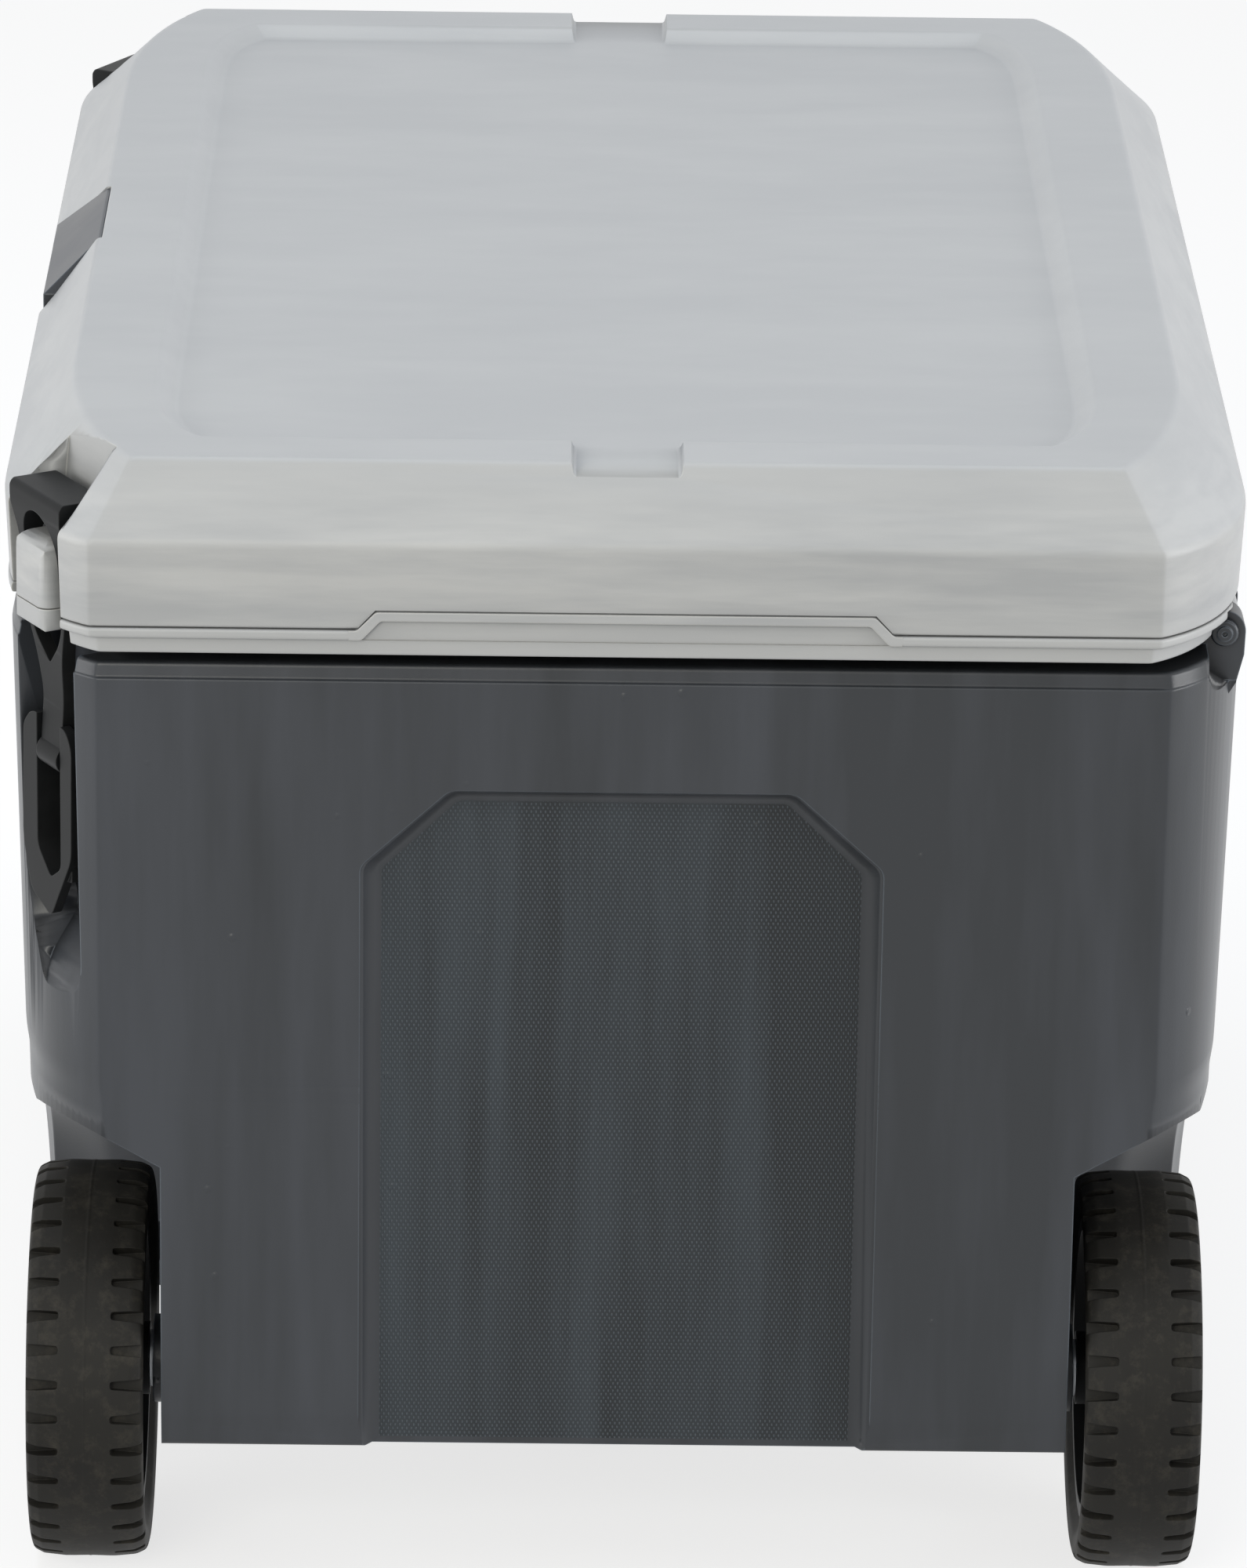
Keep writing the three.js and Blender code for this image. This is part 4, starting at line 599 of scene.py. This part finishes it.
def finished(piece, body, nodes, slot, *finishes):
    """Gives a piece its finishes and smooth shading, and lets it ride with its body."""
    piece.data.materials.clear()
    for finish in finishes:
        piece.data.materials.append(finish)
    piece.data.shade_smooth()
    piece.data.set_sharp_from_angle(angle=math.radians(SHARP_ABOVE))
    even = piece.modifiers.new("even normals", "WEIGHTED_NORMAL")
    even.keep_sharp = True
    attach(piece, body)
    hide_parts(*nodes)
    print(piece.name, len(piece.data.polygons), "faces")


# %% [markdown]
# ## Sizes that several pieces share
# All are in mm about the lid's middle: x towards the wheels, y towards the hinges and z up from
# the ground. What is drawn once at one end or side is mirrored to the other.

# %% Shared sizes
ENDS = (("wheel_end", 1), ("handle_end", -1))
SIDES = (("front", -1), ("rear", 1))
MIRROR_X = {1: Matrix.Identity(4), -1: Matrix.Scale(-1, 4, (1, 0, 0))}
MIRROR_Y = {1: Matrix.Identity(4), -1: Matrix.Scale(-1, 4, (0, 1, 0))}
TUB_TOP = 382
TUB_BOTTOM = 67
TUB_HALF_LENGTH = 336
SIDE = {-1: 228.7, 1: 230.4}  # half widths of the tub at its top, front and rear
WALL_LEAN = 0.0225  # how much the tub's walls come in for each mm down, to leave the mould
LID_TOP = 458
TRAY_FLOOR = 453
SEAM = 397.5
HINGE = (221.6, 387)  # y and z of the hinge's axis
PIN_BORE = 3.3  # radius of the hole for a hinge pin
EARS = (244.6, 286.0)  # the x at which each of the tub's two ears starts
EAR_LENGTH = 14
EAR_RELIEF = 9.4  # radius of the room for an ear in the lid
AXLE_X, AXLE_Z = 265, 76  # also the wheels' radius

# %% [markdown]
# ## Latch corners
# The latches sit askew on the two front corners, so their pockets, scoops and nubs are drawn in
# a small frame of their own: x across the strap, y inwards from its face, z up.

# %% Latch corner shapes
LATCH = Matrix.Translation((310.5, -217, 0)) @ Matrix.Rotation(math.radians(30), 4, "Z")
POCKET_HALF = 23.4
POCKET_DEPTH = 24
OUTSIDE = -40  # a cutter starts this far in front of the strap's face


def corner(sign):
    """The frame of the latch corner at one end."""
    return MIRROR_X[sign] @ LATCH


def scoop(sign):
    """The hollow in the lid's corner: slanted walls that lean together towards the rim."""
    half, low, bend, high = POCKET_HALF, 370, 437, LID_TOP + 4
    face = [(-half, low), (half, low), (half, bend), (half - 6, high), (-half + 6, high),
            (-half, bend)]
    return prism("scoop", "y", rounded(face, [0, 0, 5, 0, 0, 5]), OUTSIDE, POCKET_DEPTH + 1,
                 corner(sign))


def pocket(sign):
    """The room for a latch in the tub's corner: its foot runs out in a V that points down."""
    half = POCKET_HALF
    high = TUB_TOP + 60
    face = [(half, high), (half, 254), (14.6, 242), (-2.4, 248), (-10, 264), (-half + 2, 290),
            (-half, 300), (-half, high)]
    front = prism("pocket", "y", rounded(face, [0, 6, 3, 3, 6, 6, 4, 0]), OUTSIDE, POCKET_DEPTH,
                  corner(sign))
    side = [(OUTSIDE, high), (OUTSIDE, 214), (4, 247), (9, 256), (POCKET_DEPTH, 270),
            (POCKET_DEPTH, high)]
    floor = prism("pocket floor", "x", rounded(side, [0, 0, 2, 3, 5, 0]), -half - 1, half + 1,
                  corner(sign))
    return combine(front, [floor], "INTERSECT")


def nub(sign, low, high):
    """The light-grey nub that the strap hooks over, cut to a range of heights."""
    half, rear, foot, top = 12.5, POCKET_DEPTH + 3, 388, 423.5
    side = rounded([(-3, foot), (rear, foot), (rear, top), (-3, top)], [4, 0, 0, 11], 8)
    block = prism("nub", "x", side, -half, half, corner(sign))
    plan = [(-half, rear + 1), (-half, -3.2), (half, -3.2), (half, rear + 1)]
    cut = prism("nub plan", "z", rounded(plan, [0, 6, 6, 0], 6), low, high, corner(sign))
    face = rounded([(-half, foot - 0.1), (half, foot - 0.1), (half, top + 0.1), (-half, top + 0.1)],
                   [4, 4, 11, 11], 8)
    front = prism("nub face", "y", face, -5, rear + 2, corner(sign))
    return combine(block, [cut, front], "INTERSECT")


# %% [markdown]
# ## Lid
# The lid is two shells welded at a seam. The upper one has a wide bevel all round and a sunk
# tray on top, with a notch through the rim at both ends.

# %% Lid, upper shell
lid = loft(
    "lid_moulding",
    [
        ring(SEAM, 334.5, 223, 190),
        ring(SEAM, 340.5, 229, 195.8),
        ring(430, 342, 230.5, 195.8),
        ring(LID_TOP, 326, 207.5, 181, RIM_CORNER),
        ring(LID_TOP, 300, 175.5, 156.5, TRAY_CORNER),
        ring(TRAY_FLOOR, 292.5, 168, 152.8, TRAY_CORNER),
        ring(TRAY_FLOOR, 284, 159.5, 147, TRAY_CORNER),
    ],
    cuts=[0.8, 2.2, 2.6, 1.6, 2],
)
NOTCH_HALF = 19.5
notches = [
    prism("notch", "x", rounded([(-NOTCH_HALF, TRAY_FLOOR), (NOTCH_HALF, TRAY_FLOOR),
          (NOTCH_HALF + 1.5, 460), (-NOTCH_HALF - 1.5, 460)], [1.5, 1.5, 0, 0]), 285, 350,
          MIRROR_X[sign]) for _, sign in ENDS
]
PLATE = [(-50.3, 406.7), (50.3, 406.7), (50.3, 438), (36.3, 459.5), (-36.3, 459.5), (-50.3, 438)]
slot_profile = [(-250, 400), (-225.2, 400), (-225.2, 436), (-205.9, 453.7), (-205.9, 470),
                (-250, 470)]
plate_slot = combine(prism("plate slot", "x", slot_profile, -60, 60),
                     [prism("plate face", "y", rounded(PLATE, 1.0), -260, -195)], "INTERSECT")
steps = []
for _, sign in ENDS:
    face = [(-99.3, 396), (99.3, 396), (91.3, 404.8), (-91.3, 404.8)]
    steps.append(prism("seam step", "x", face, 335.7, 350, MIRROR_X[sign]))
combine(lid, [scoop(sign) for _, sign in ENDS] + notches + [plate_slot] + steps)
combine(lid, [nub(sign, SEAM, 423) for _, sign in ENDS], "UNION")
reliefs = [
    rod("ear relief", "x", EAR_RELIEF, start - 1, start + 15, HINGE, MIRROR_X[sign])
    for _, sign in ENDS for start in EARS
]
combine(lid, reliefs + [core_of("lid_foam")])
finished(lid, "lid", ["lid_shell"], "lid_plastic", lid_polyethylene)

# %% [markdown]
# The lower shell closes the lid from below. A bead runs round it under the seam and climbs over
# a tab at both ends, and at the rear two lugs reach down between the tub's ears, where a pin
# goes through all of them.

# %% Lid, lower shell
BEAD_TOP = SEAM - 0.5
base = loft(
    "lid_base_moulding",
    [
        ring(387, 334, 215, 188),
        ring(387, 338.7, 223.5, 192.4),
        ring(392.9, 339, 224.5, 193),
        ring(393.4, 341.3, 229.5, 195.5),
        ring(BEAD_TOP, 341.3, 229.5, 195.5),
        ring(BEAD_TOP, 334, 222, 190),
    ],
    cuts=[0.8, 0.4, 1.2, 1.2],
)
REAR_EDGE = 224.5  # the bead stops here, so that the lid can swing up past the tub
REAR_HALF = 304
rear = prism("rear edge", "z", [(-REAR_HALF, REAR_EDGE), (REAR_HALF, REAR_EDGE), (REAR_HALF, 260),
             (-REAR_HALF, 260)], 380, 400)
flat_part = [(-96.5, 393), (96.5, 393), (96.5, 398), (-96.5, 398)]
flats = [prism("bead gap", "x", flat_part, 339, 346, MIRROR_X[sign]) for _, sign in ENDS]
combine(base, [rear] + flats + [scoop(sign) for _, sign in ENDS])
TAB = [(-98, 392), (98, 392), (98, BEAD_TOP), (91, 404.2), (-91, 404.2), (-98, BEAD_TOP)]
BEAD = [(-101, BEAD_TOP), (-98, BEAD_TOP), (-91, 404.2), (91, 404.2), (98, BEAD_TOP),
        (101, BEAD_TOP), (101, 393.4), (96.3, 393.4), (89.4, 400.8), (-89.4, 400.8),
        (-96.3, 393.4), (-101, 393.4)]
BEAD_ROUNDING = [0, 1, 1, 1, 1, 0, 0, 1, 1, 1, 1, 0]
joins = [loft("plug", [round_ring(374, 281, 177, 18), round_ring(374, 283, 179, 20),
         round_ring(389, 283, 179, 20)], [2])]
LUG = (258.3, 285.7)  # x of its two faces, just clear of the ears
LUG_RADIUS = 7
for _, sign in ENDS:
    joins.append(prism("seam tab", "x", TAB, 336, 339, MIRROR_X[sign]))
    joins.append(prism("bead", "x", rounded(BEAD, BEAD_ROUNDING, 3), 335.5, 341.3, MIRROR_X[sign]))
    joins.append(nub(sign, 379, BEAD_TOP))
    joins.append(rod("lug", "x", LUG_RADIUS, *LUG, HINGE, MIRROR_X[sign]))
    web = [(214.6, 387), (REAR_EDGE, 387), (REAR_EDGE, BEAD_TOP), (214.6, BEAD_TOP)]
    joins.append(prism("lug web", "x", web, *LUG, MIRROR_X[sign]))
combine(base, joins, "UNION")
bores = [rod("bore", "x", PIN_BORE, 190, 301, HINGE, MIRROR_X[sign]) for _, sign in ENDS]
EAR_ROOM = ((EARS[0] - 1, EARS[0] + 14.3), (EARS[1] - 0.3, EARS[1] + 20))
reliefs = [rod("ear relief", "x", EAR_RELIEF, *room, HINGE, MIRROR_X[sign])
           for _, sign in ENDS for room in EAR_ROOM]
combine(base, bores + reliefs + [core_of("lid_foam")])
finished(base, "lid", ["lid_base"], "lid_plastic", lid_polyethylene)

# %% [markdown]
# ## Tub
# The tub's outer shell is one moulding. Its walls lean in a little so that it leaves the mould,
# and below a ledge its sides step in and make room for the wheels.

# %% Tub shell
CORNER = (193.4, 200)  # where the end wall's flat stops, front and rear


def lean(z):
    """How far the tub's walls have come in at a height."""
    return (TUB_TOP - z) * WALL_LEAN


def tub_ring(z, narrower=0.0, shorter=0.0):
    """The tub's outline at one height, taken in a little at the sides and the ends."""
    return ring(z, TUB_HALF_LENGTH - lean(z) - shorter,
                tuple(SIDE[s] - lean(z) - narrower for s in (-1, 1)),
                tuple(c - narrower + shorter * 0.5 for c in CORNER), vertex=2.4)


tub = loft(
    "tub_moulding",
    [
        tub_ring(TUB_BOTTOM, 21, 18),
        tub_ring(TUB_BOTTOM, 3, 1.8),
        tub_ring(80, 1),
        tub_ring(208, 1),
        tub_ring(216),
        tub_ring(375.7),
        tub_ring(376.2, 0.2, 1.1),
        tub_ring(381, 1.2, 1.9),
        tub_ring(TUB_TOP, 2.4, 3),
        tub_ring(TUB_TOP, 12, 12),
    ],
    cuts=[2, 2, 3, 3, 0.35, 0.5, 0.7, 1],
)

# %% [markdown]
# ### What is sunk into the tub's walls
# Each wheel has an arch, each end a panel that is open at its foot, and each long side an
# eight-sided panel. All are cutters for booleans, drawn once and mirrored.

# %% Wheel arches and panels
ARCH_Y = 171  # the arch's inner wall
ROOF_Z, ROOF_X = 181.4, 331  # a point of the roof at the inner wall, near the end
ROOF_CLIMB_X, ROOF_CLIMB_Y = 0.411, 0.578  # its climb towards the end and the side
ROOF_SIDE = 224  # it climbs no further than this y
ROOF_START = -29  # and only from this far behind the axle
ARCH_OUT = 110  # the arch reaches this far past the axle, through the end wall
RAYS = 128


def arch(sign):
    """The room for a wheel: it narrows inwards, has a flared mouth and stays open to the end,
    where its roof climbs. Each outline is swept as rays about the axle."""
    def outline(y, radius, grow):
        points = []
        height = (ROOF_Z + ROOF_CLIMB_X * (AXLE_X - ROOF_X)
                  + ROOF_CLIMB_Y * (min(y, ROOF_SIDE) - ARCH_Y) - AXLE_Z)
        for i in range(RAYS + 1):
            angle = math.pi * (1 - i / RAYS)
            cos, sin = math.cos(angle), math.sin(angle)
            roof = height / max(sin - ROOF_CLIMB_X * cos, 0.01)
            if radius * cos < ROOF_START:
                roof = 0
            reach = min(max(radius, roof), ARCH_OUT / max(cos, 0.01)) + grow
            points.append(Vector((AXLE_X + reach * cos, y, AXLE_Z + reach * sin)))
        return points + [Vector((380, y, -10)), Vector((AXLE_X - radius - grow, y, -10))]
    rows = [outline(ARCH_Y, 92, 0), outline(219.4, 100.5, 0), outline(219.9, 101.5, 1),
            outline(223.6, 103, 10), outline(226.4, 105, 15), outline(234, 110, 25)]
    return loft("arch", rows, [0.4, 0.4, 2, 2], 3, MIRROR_Y[sign])


PANEL_HALF = 96
PANEL_TOP = 333
PANEL_DEPTH = 6.5
SHOULDER = (63.5, 303)  # where the panel's slanted corners meet its top and its sides


def end_panel(sign):
    """The sunk panel in an end wall, open at its foot. Its upper wall is the steepest."""
    def outline(inset, drop, depth):
        half, top = PANEL_HALF - inset, PANEL_TOP - drop
        slant = (inset + drop) * 0.22
        bend_y, bend_z = SHOULDER[0] - slant, SHOULDER[1] - slant
        points = rounded([(-half, 40), (half, 40), (half, bend_z), (bend_y, top), (-bend_y, top),
                          (-half, bend_z)], [0, 0, 3, 3, 3, 3])
        return [Vector((TUB_HALF_LENGTH - lean(z) - depth, y, z)) for y, z in points]
    rows = [outline(4.6, 3, PANEL_DEPTH), outline(0.4, 0.3, 0.9), outline(-0.6, -0.4, 0.5),
            outline(-0.6, -0.4, -2)]
    return loft("end panel", rows, [0.6, 0.5], 3, MIRROR_X[sign])


def side_panel(sign):
    """The shallow eight-sided panel in a long wall."""
    def outline(inset, depth):
        half, low, high, slope = 195 - inset, 236 + inset, 338 - inset, 30 - inset * 0.4
        points = rounded([(-half + slope, low), (half - slope, low), (half, low + slope),
                          (half, high - slope), (half - slope, high), (-half + slope, high),
                          (-half, high - slope), (-half, low + slope)], 4)
        return [Vector((x, SIDE[sign] - lean(z) - depth, z)) for x, z in points]
    return loft("side panel", [outline(2.4, 3), outline(-2, -2)], matrix=MIRROR_Y[sign])


# %% [markdown]
# ### Feet, ears and openings
# Two feet hold up the end without wheels, and two pairs of ears carry the hinge pins. The large
# cuts come first, while the walls are still plain, then the small ones at the hinge, and last
# the room for the liner and for the foam behind it.

# %% Feet and ears
FOOT = (-296, 172)
FOOT_SIZE = (24, 20, 6)  # half lengths and corner radius
FOOT_ROWS = ((8.3, -1.2), (10, 0), (69, 6))  # height, and how much larger the foot is there
feet = []
for _, sign in SIDES:
    centre = Vector((FOOT[0], sign * FOOT[1], 0))
    rows = [[centre + v for v in round_ring(z, FOOT_SIZE[0] + more, FOOT_SIZE[1] + more,
             FOOT_SIZE[2] + more / 2, 5)] for z, more in FOOT_ROWS]
    feet.append(loft("foot", rows, [1]))
EAR_RADIUS = 8
EAR_ROOT = [(213.6, 361), (223, 361), (226.6, 367), (229.3, 378), (229.6, 387), (213.6, 387)]
ears = []
for _, sign in ENDS:
    for start in EARS:
        reach = (start, start + EAR_LENGTH)
        ears.append(rod("ear", "x", EAR_RADIUS, *reach, HINGE, MIRROR_X[sign], 56))
        ears.append(prism("ear root", "x", EAR_ROOT, *reach, MIRROR_X[sign]))
combine(tub, feet + ears, "UNION")

# %% Openings
CHANNEL = 176  # half the length of the channel under the tub that the axle lies in
DRAIN = (0, 112)
HINGE_GAP = (257.9, 286.1)  # the room between two ears, a hair wider than it
PIN_HEAD = (HINGE[0], 374.5)  # the hollow that the pin goes in through

cutters = [end_panel(sign) for _, sign in ENDS] + [pocket(sign) for _, sign in ENDS]
for _, sign in SIDES:
    cutters += [arch(sign), side_panel(sign)]
channel = [(-CHANNEL, 0), (CHANNEL, 0), (CHANNEL, 88), (-CHANNEL, 88)]
cutters.append(prism("axle channel", "x", channel, AXLE_X - 12, AXLE_X + 12))
cutters.append(rod("drain bore", "x", 11.3, -341, -270, DRAIN))
combine(tub, cutters)

cutters = []
for _, sign in ENDS:
    cutters.append(rod("hinge gap", "x", 8.5, *HINGE_GAP, HINGE, MIRROR_X[sign]))
    above = [(HINGE[0], 378.5), (250, 378.5), (250, 417), (HINGE[0], 417)]
    cutters.append(prism("hinge gap mouth", "x", above, *HINGE_GAP, MIRROR_X[sign]))
    cutters.append(rod("pin pocket", "x", 6.5, 300, 342, PIN_HEAD, MIRROR_X[sign]))
    above = [(HINGE[0] - 6.5, PIN_HEAD[1]), PIN_HEAD, (HINGE[0], 368), (250, 368), (250, 417),
             (HINGE[0] - 6.5, 417)]
    cutters.append(prism("pin pocket mouth", "x", above, 300, 342, MIRROR_X[sign]))
    cutters.append(rod("pin bore", "x", PIN_BORE, 200, 301, HINGE, MIRROR_X[sign]))
combine(tub, cutters)

# %% Room for the liner and the foam
mouth = loft("mouth", [round_ring(97.5 - 0.6, 293.1, 189.1, 27), round_ring(379, 293.1, 189.1, 27),
             round_ring(379.1, 305, 200.6, 40), round_ring(385, 305, 200.6, 40)], [0, 0])
SHELF = [(124.8, 142.0), (340, 142.0), (340, 240), (124.8, 240)]  # the liner's, over a wheel
combine(mouth, [prism("shelf", "z", SHELF, 0, 219.2, MIRROR_Y[sign]) for _, sign in SIDES])
combine(tub, [mouth])
combine(tub, [core_of("body_foam")])

# %% [markdown]
# ### The knurled field
# The knurling stops short of the edges of a panel's floor, so the floor's faces are inset by a
# plain rim, and what is left inside gets the dotted finish.

# %% Knurled field
PLAIN_RIM = 2.6
shape = bmesh.new()
shape.from_mesh(tub.data)
floors = []
for face in shape.faces:
    x, y, z = face.calc_center_median() / MM
    sunk = TUB_HALF_LENGTH - lean(z) - PANEL_DEPTH
    upright = abs(face.normal.x) > 0.99
    if upright and abs(y) < PANEL_HALF and abs(abs(x - MIDDLE) - sunk) < 0.3:
        floors.append(face)
bmesh.ops.inset_region(shape, faces=floors, thickness=PLAIN_RIM * MM, use_even_offset=True)
for face in shape.faces:
    face.material_index = 0
for face in floors:
    face.material_index = 1
shape.to_mesh(tub.data)
shape.free()
index = [face.material_index for face in tub.data.polygons]
print("panel faces:", sum(index))
finished(tub, "tub", ["body_shell"], "tub_plastic", tub_polyethylene, dotted_polyethylene)
# A change of materials sets every face back to the first one, so the faces are marked again.
tub.data.polygons.foreach_set("material_index", index)

# %% [markdown]
# ## Wheels
# The tyre is a ring of dark rubber with open slots across both shoulders. One slice of it is
# modelled with its slots and then repeated round the axle, so that every slice is the same.

# %% Tyres
TREAD_SLOTS = 36
TYRE_MIDDLE = 199.75  # y of the middle of the tread
TYRE_HALF = 22.25
TYRE_TOP = 76
SLICE_STEPS = 10
SLOTS = ((-0.25, 71.2), (0.25, 72.6))  # share of a slice, and radius of the slot's floor
AXLE = Vector((AXLE_X, 0, AXLE_Z))


def tyre(name, sign):
    """A tyre as equal slices, each with a deep and a shallow slot on both shoulders."""
    profile = [(61, -19.1), (65, -21.5), (70, -TYRE_HALF), (73.4, -21.3), (75.2, -17.6),
               (TYRE_TOP, -9.6), (TYRE_TOP, -6.8), (75.85, -0.7), (TYRE_TOP, 0), (75.85, 0.7),
               (TYRE_TOP, 6.8), (TYRE_TOP, 9.6), (75.2, 17.6), (73.4, 21.3), (70, TYRE_HALF),
               (65, 21.5), (61, 19.1), (58.3, 17.7), (58.3, -17.7)]
    profile = [Vector((r, TYRE_MIDDLE + y)) for r, y in profile]
    profile = soften(profile + [profile[0]], [1.2] * 5 + [0.4] * 7 + [1.2] * 6, 3)[:-1]
    wedge = math.radians(720 / TREAD_SLOTS)
    rows = [[Vector((r * math.sin(a), y, r * math.cos(a))) for r, y in profile]
            for a in (wedge * (i / SLICE_STEPS - 0.5) for i in range(SLICE_STEPS + 1))]
    piece = loft("slice", rows)
    tools = []
    for turn, floor in SLOTS:
        for side in (1, -1):
            outer, inner = TYRE_MIDDLE + side * 26, TYRE_MIDDLE + side * 9.8
            plan = [(-2.7, outer), (-1.5, inner), (1.5, inner), (2.7, outer)]
            tools.append(prism("slot", "z", rounded(plan, [0, 1.2, 1.2, 0], 4), floor, 80,
                               Matrix.Rotation(turn * wedge, 4, "Y")))
    combine(piece, tools)
    shape = bmesh.new()
    shape.from_mesh(piece.data)
    # The slice's two flat ends lie inside the tyre, so they go.
    flat = [f for f in shape.faces if all(
            abs(abs(math.atan2(v.co.x - MIDDLE * MM, v.co.z)) - wedge / 2) < 1e-4
            for v in f.verts)]
    bmesh.ops.delete(shape, geom=flat, context="FACES")
    one = [v.co.copy() for v in shape.verts]
    quads = [[v.index for v in f.verts] for f in shape.faces]
    shape.free()
    bpy.data.objects.remove(piece)
    vertices, faces = [], []
    for n in range(TREAD_SLOTS // 2):
        spin = Matrix.Rotation(wedge * n, 4, "Y")
        offset = len(vertices)
        for co in one:
            local = (co / MM) - Vector((MIDDLE, 0, 0))
            vertices.append(AXLE + spin @ local)
        faces += [[offset + i for i in q] for q in quads]
    whole = mesh_object(name, vertices, faces, MIRROR_Y[sign])
    weld_close(whole.data, WELD)
    return whole


for side, sign in SIDES:
    finished(tyre("tyre_moulding_" + side, sign), "wheel_" + side, ["tyre_" + side],
             "tyre_rubber", tyre_rubber)

# %% [markdown]
# ## Latches
# Each strap is a stiff loop. Its bar hooks over the lid's nub, and its foot turns on a pin in a
# black housing that clips into the tub's pocket.

# %% Straps
LATCH_PIN = (10, 336)  # y and z in the corner's frame
LATCH_PIN_BORE = 2.8


def both_sides(right):
    """An outline from its right half, written from the bottom up."""
    return right + [(-x, z) for x, z in right[::-1] if x > 0]


def strap(name, sign):
    """A loop of nylon: its side view, cut to its front view, with a knuckle and a window."""
    side = [(0, 437), (1.5, 439), (20, 439), (20, 432), (10.5, 424), (8, 414), (10, 385),
            (13, 359), (14, 336), (6, 336), (7.5, 359), (4.5, 385), (2.5, 418), (0, 431)]
    soft = [1, 1, 1.5, 2, 4, 5, 8, 5, 0, 0, 5, 8, 4, 3]
    profile = prism(name, "x", rounded(side, soft), -20, 20, corner(sign))
    face = both_sides([(8, 326), (8, 359), (10, 374), (16, 392), (17, 418), (20, 431), (20, 441)])
    soft = [0, 4, 5, 5, 5, 3, 0]
    front = prism("front", "y", rounded(face, soft + soft[::-1]), -10, 40, corner(sign))
    combine(profile, [front], "INTERSECT")
    knuckle = rod("knuckle", "x", 6, -8, 8, LATCH_PIN, corner(sign))
    combine(profile, [knuckle], "UNION")
    hole = both_sides([(0, 372), (9, 381), (13.4, 389), (13.4, 419), (10, 427.5), (3.5, 431.5)])
    soft = [2, 3, 5, 8, 5, 4]
    window = prism("window", "y", rounded(hole, soft + soft[:0:-1], 6), -10, 40, corner(sign))
    bore = rod("bore", "x", LATCH_PIN_BORE, -25, 25, LATCH_PIN, corner(sign))
    return combine(profile, [window, bore])


def housing(name, sign):
    """The plate in the pocket, with a thick back and the window that the strap turns in."""
    face = [(1.2, 273), (17.8, 300), (18.5, 343), (14, 350), (-14, 350), (-20.5, 343), (-21.6, 298),
            (-15, 279)]
    plate = prism(name, "y", rounded(face, [3, 4, 3, 4, 4, 3, 6, 4]), 5, 9, corner(sign))
    back = [(-14.5, 285), (14.5, 290), (14.5, 346), (-14.5, 346)]
    back = prism("back", "y", back, 7, POCKET_DEPTH - 0.3, corner(sign))
    combine(plate, [back], "UNION")
    hole = [(-9.5, 298), (1, 288.5), (9.5, 294), (9.5, 354), (-9.5, 354)]
    window = prism("window", "y", rounded(hole, [3, 2, 3, 0, 0]), 0, 21, corner(sign))
    bore = rod("bore", "x", LATCH_PIN_BORE, -25, 25, LATCH_PIN, corner(sign))
    return combine(plate, [window, bore])


# %% Both latches
SOFT_EDGE = 0.9
SOFT_ABOVE = 40  # degrees between two faces whose edge is rounded
for end, sign in ENDS:
    for kind, make, body in (("strap", strap, "latch_at_" + end), ("bezel", housing, "tub")):
        piece = make(f"latch_{kind}_moulding_{end}", sign)
        soft = piece.modifiers.new("soft edges", "BEVEL")
        soft.width = SOFT_EDGE * MM
        soft.segments = 3
        soft.limit_method = "ANGLE"
        soft.angle_limit = math.radians(SOFT_ABOVE)
        settle(piece)
        finished(piece, body, [f"latch_{kind}_{end}"], "black_nylon", black_nylon)

# %% [markdown]
# ## Floor
# The floor is a wide pale sheet. Part of its white is its own, so that it fades into the
# background, and the rest is light, so that the cooler still casts a soft shadow.

# %% Floor
FLOOR_SIZE = 14  # metres
FLOOR_GLOW = 0.72
FLOOR_TONE = "#A9A9A9"
bpy.ops.mesh.primitive_plane_add(size=FLOOR_SIZE)
floor = bpy.context.object
floor.name = "floor"
material, tree, place = new_material("white studio floor")
glow = add(tree, "ShaderNodeEmission", {"Color": WHITE, "Strength": calculated(
           tree, "MULTIPLY", seen_directly(tree), FLOOR_GLOW)})
sheet = add(tree, "ShaderNodeBsdfDiffuse", {"Color": linear(FLOOR_TONE)})
both = add(tree, "ShaderNodeAddShader", {0: glow.outputs[0], 1: sheet.outputs[0]})
add(tree, "ShaderNodeOutputMaterial", {"Surface": both.outputs[0]})
floor.data.materials.append(material)
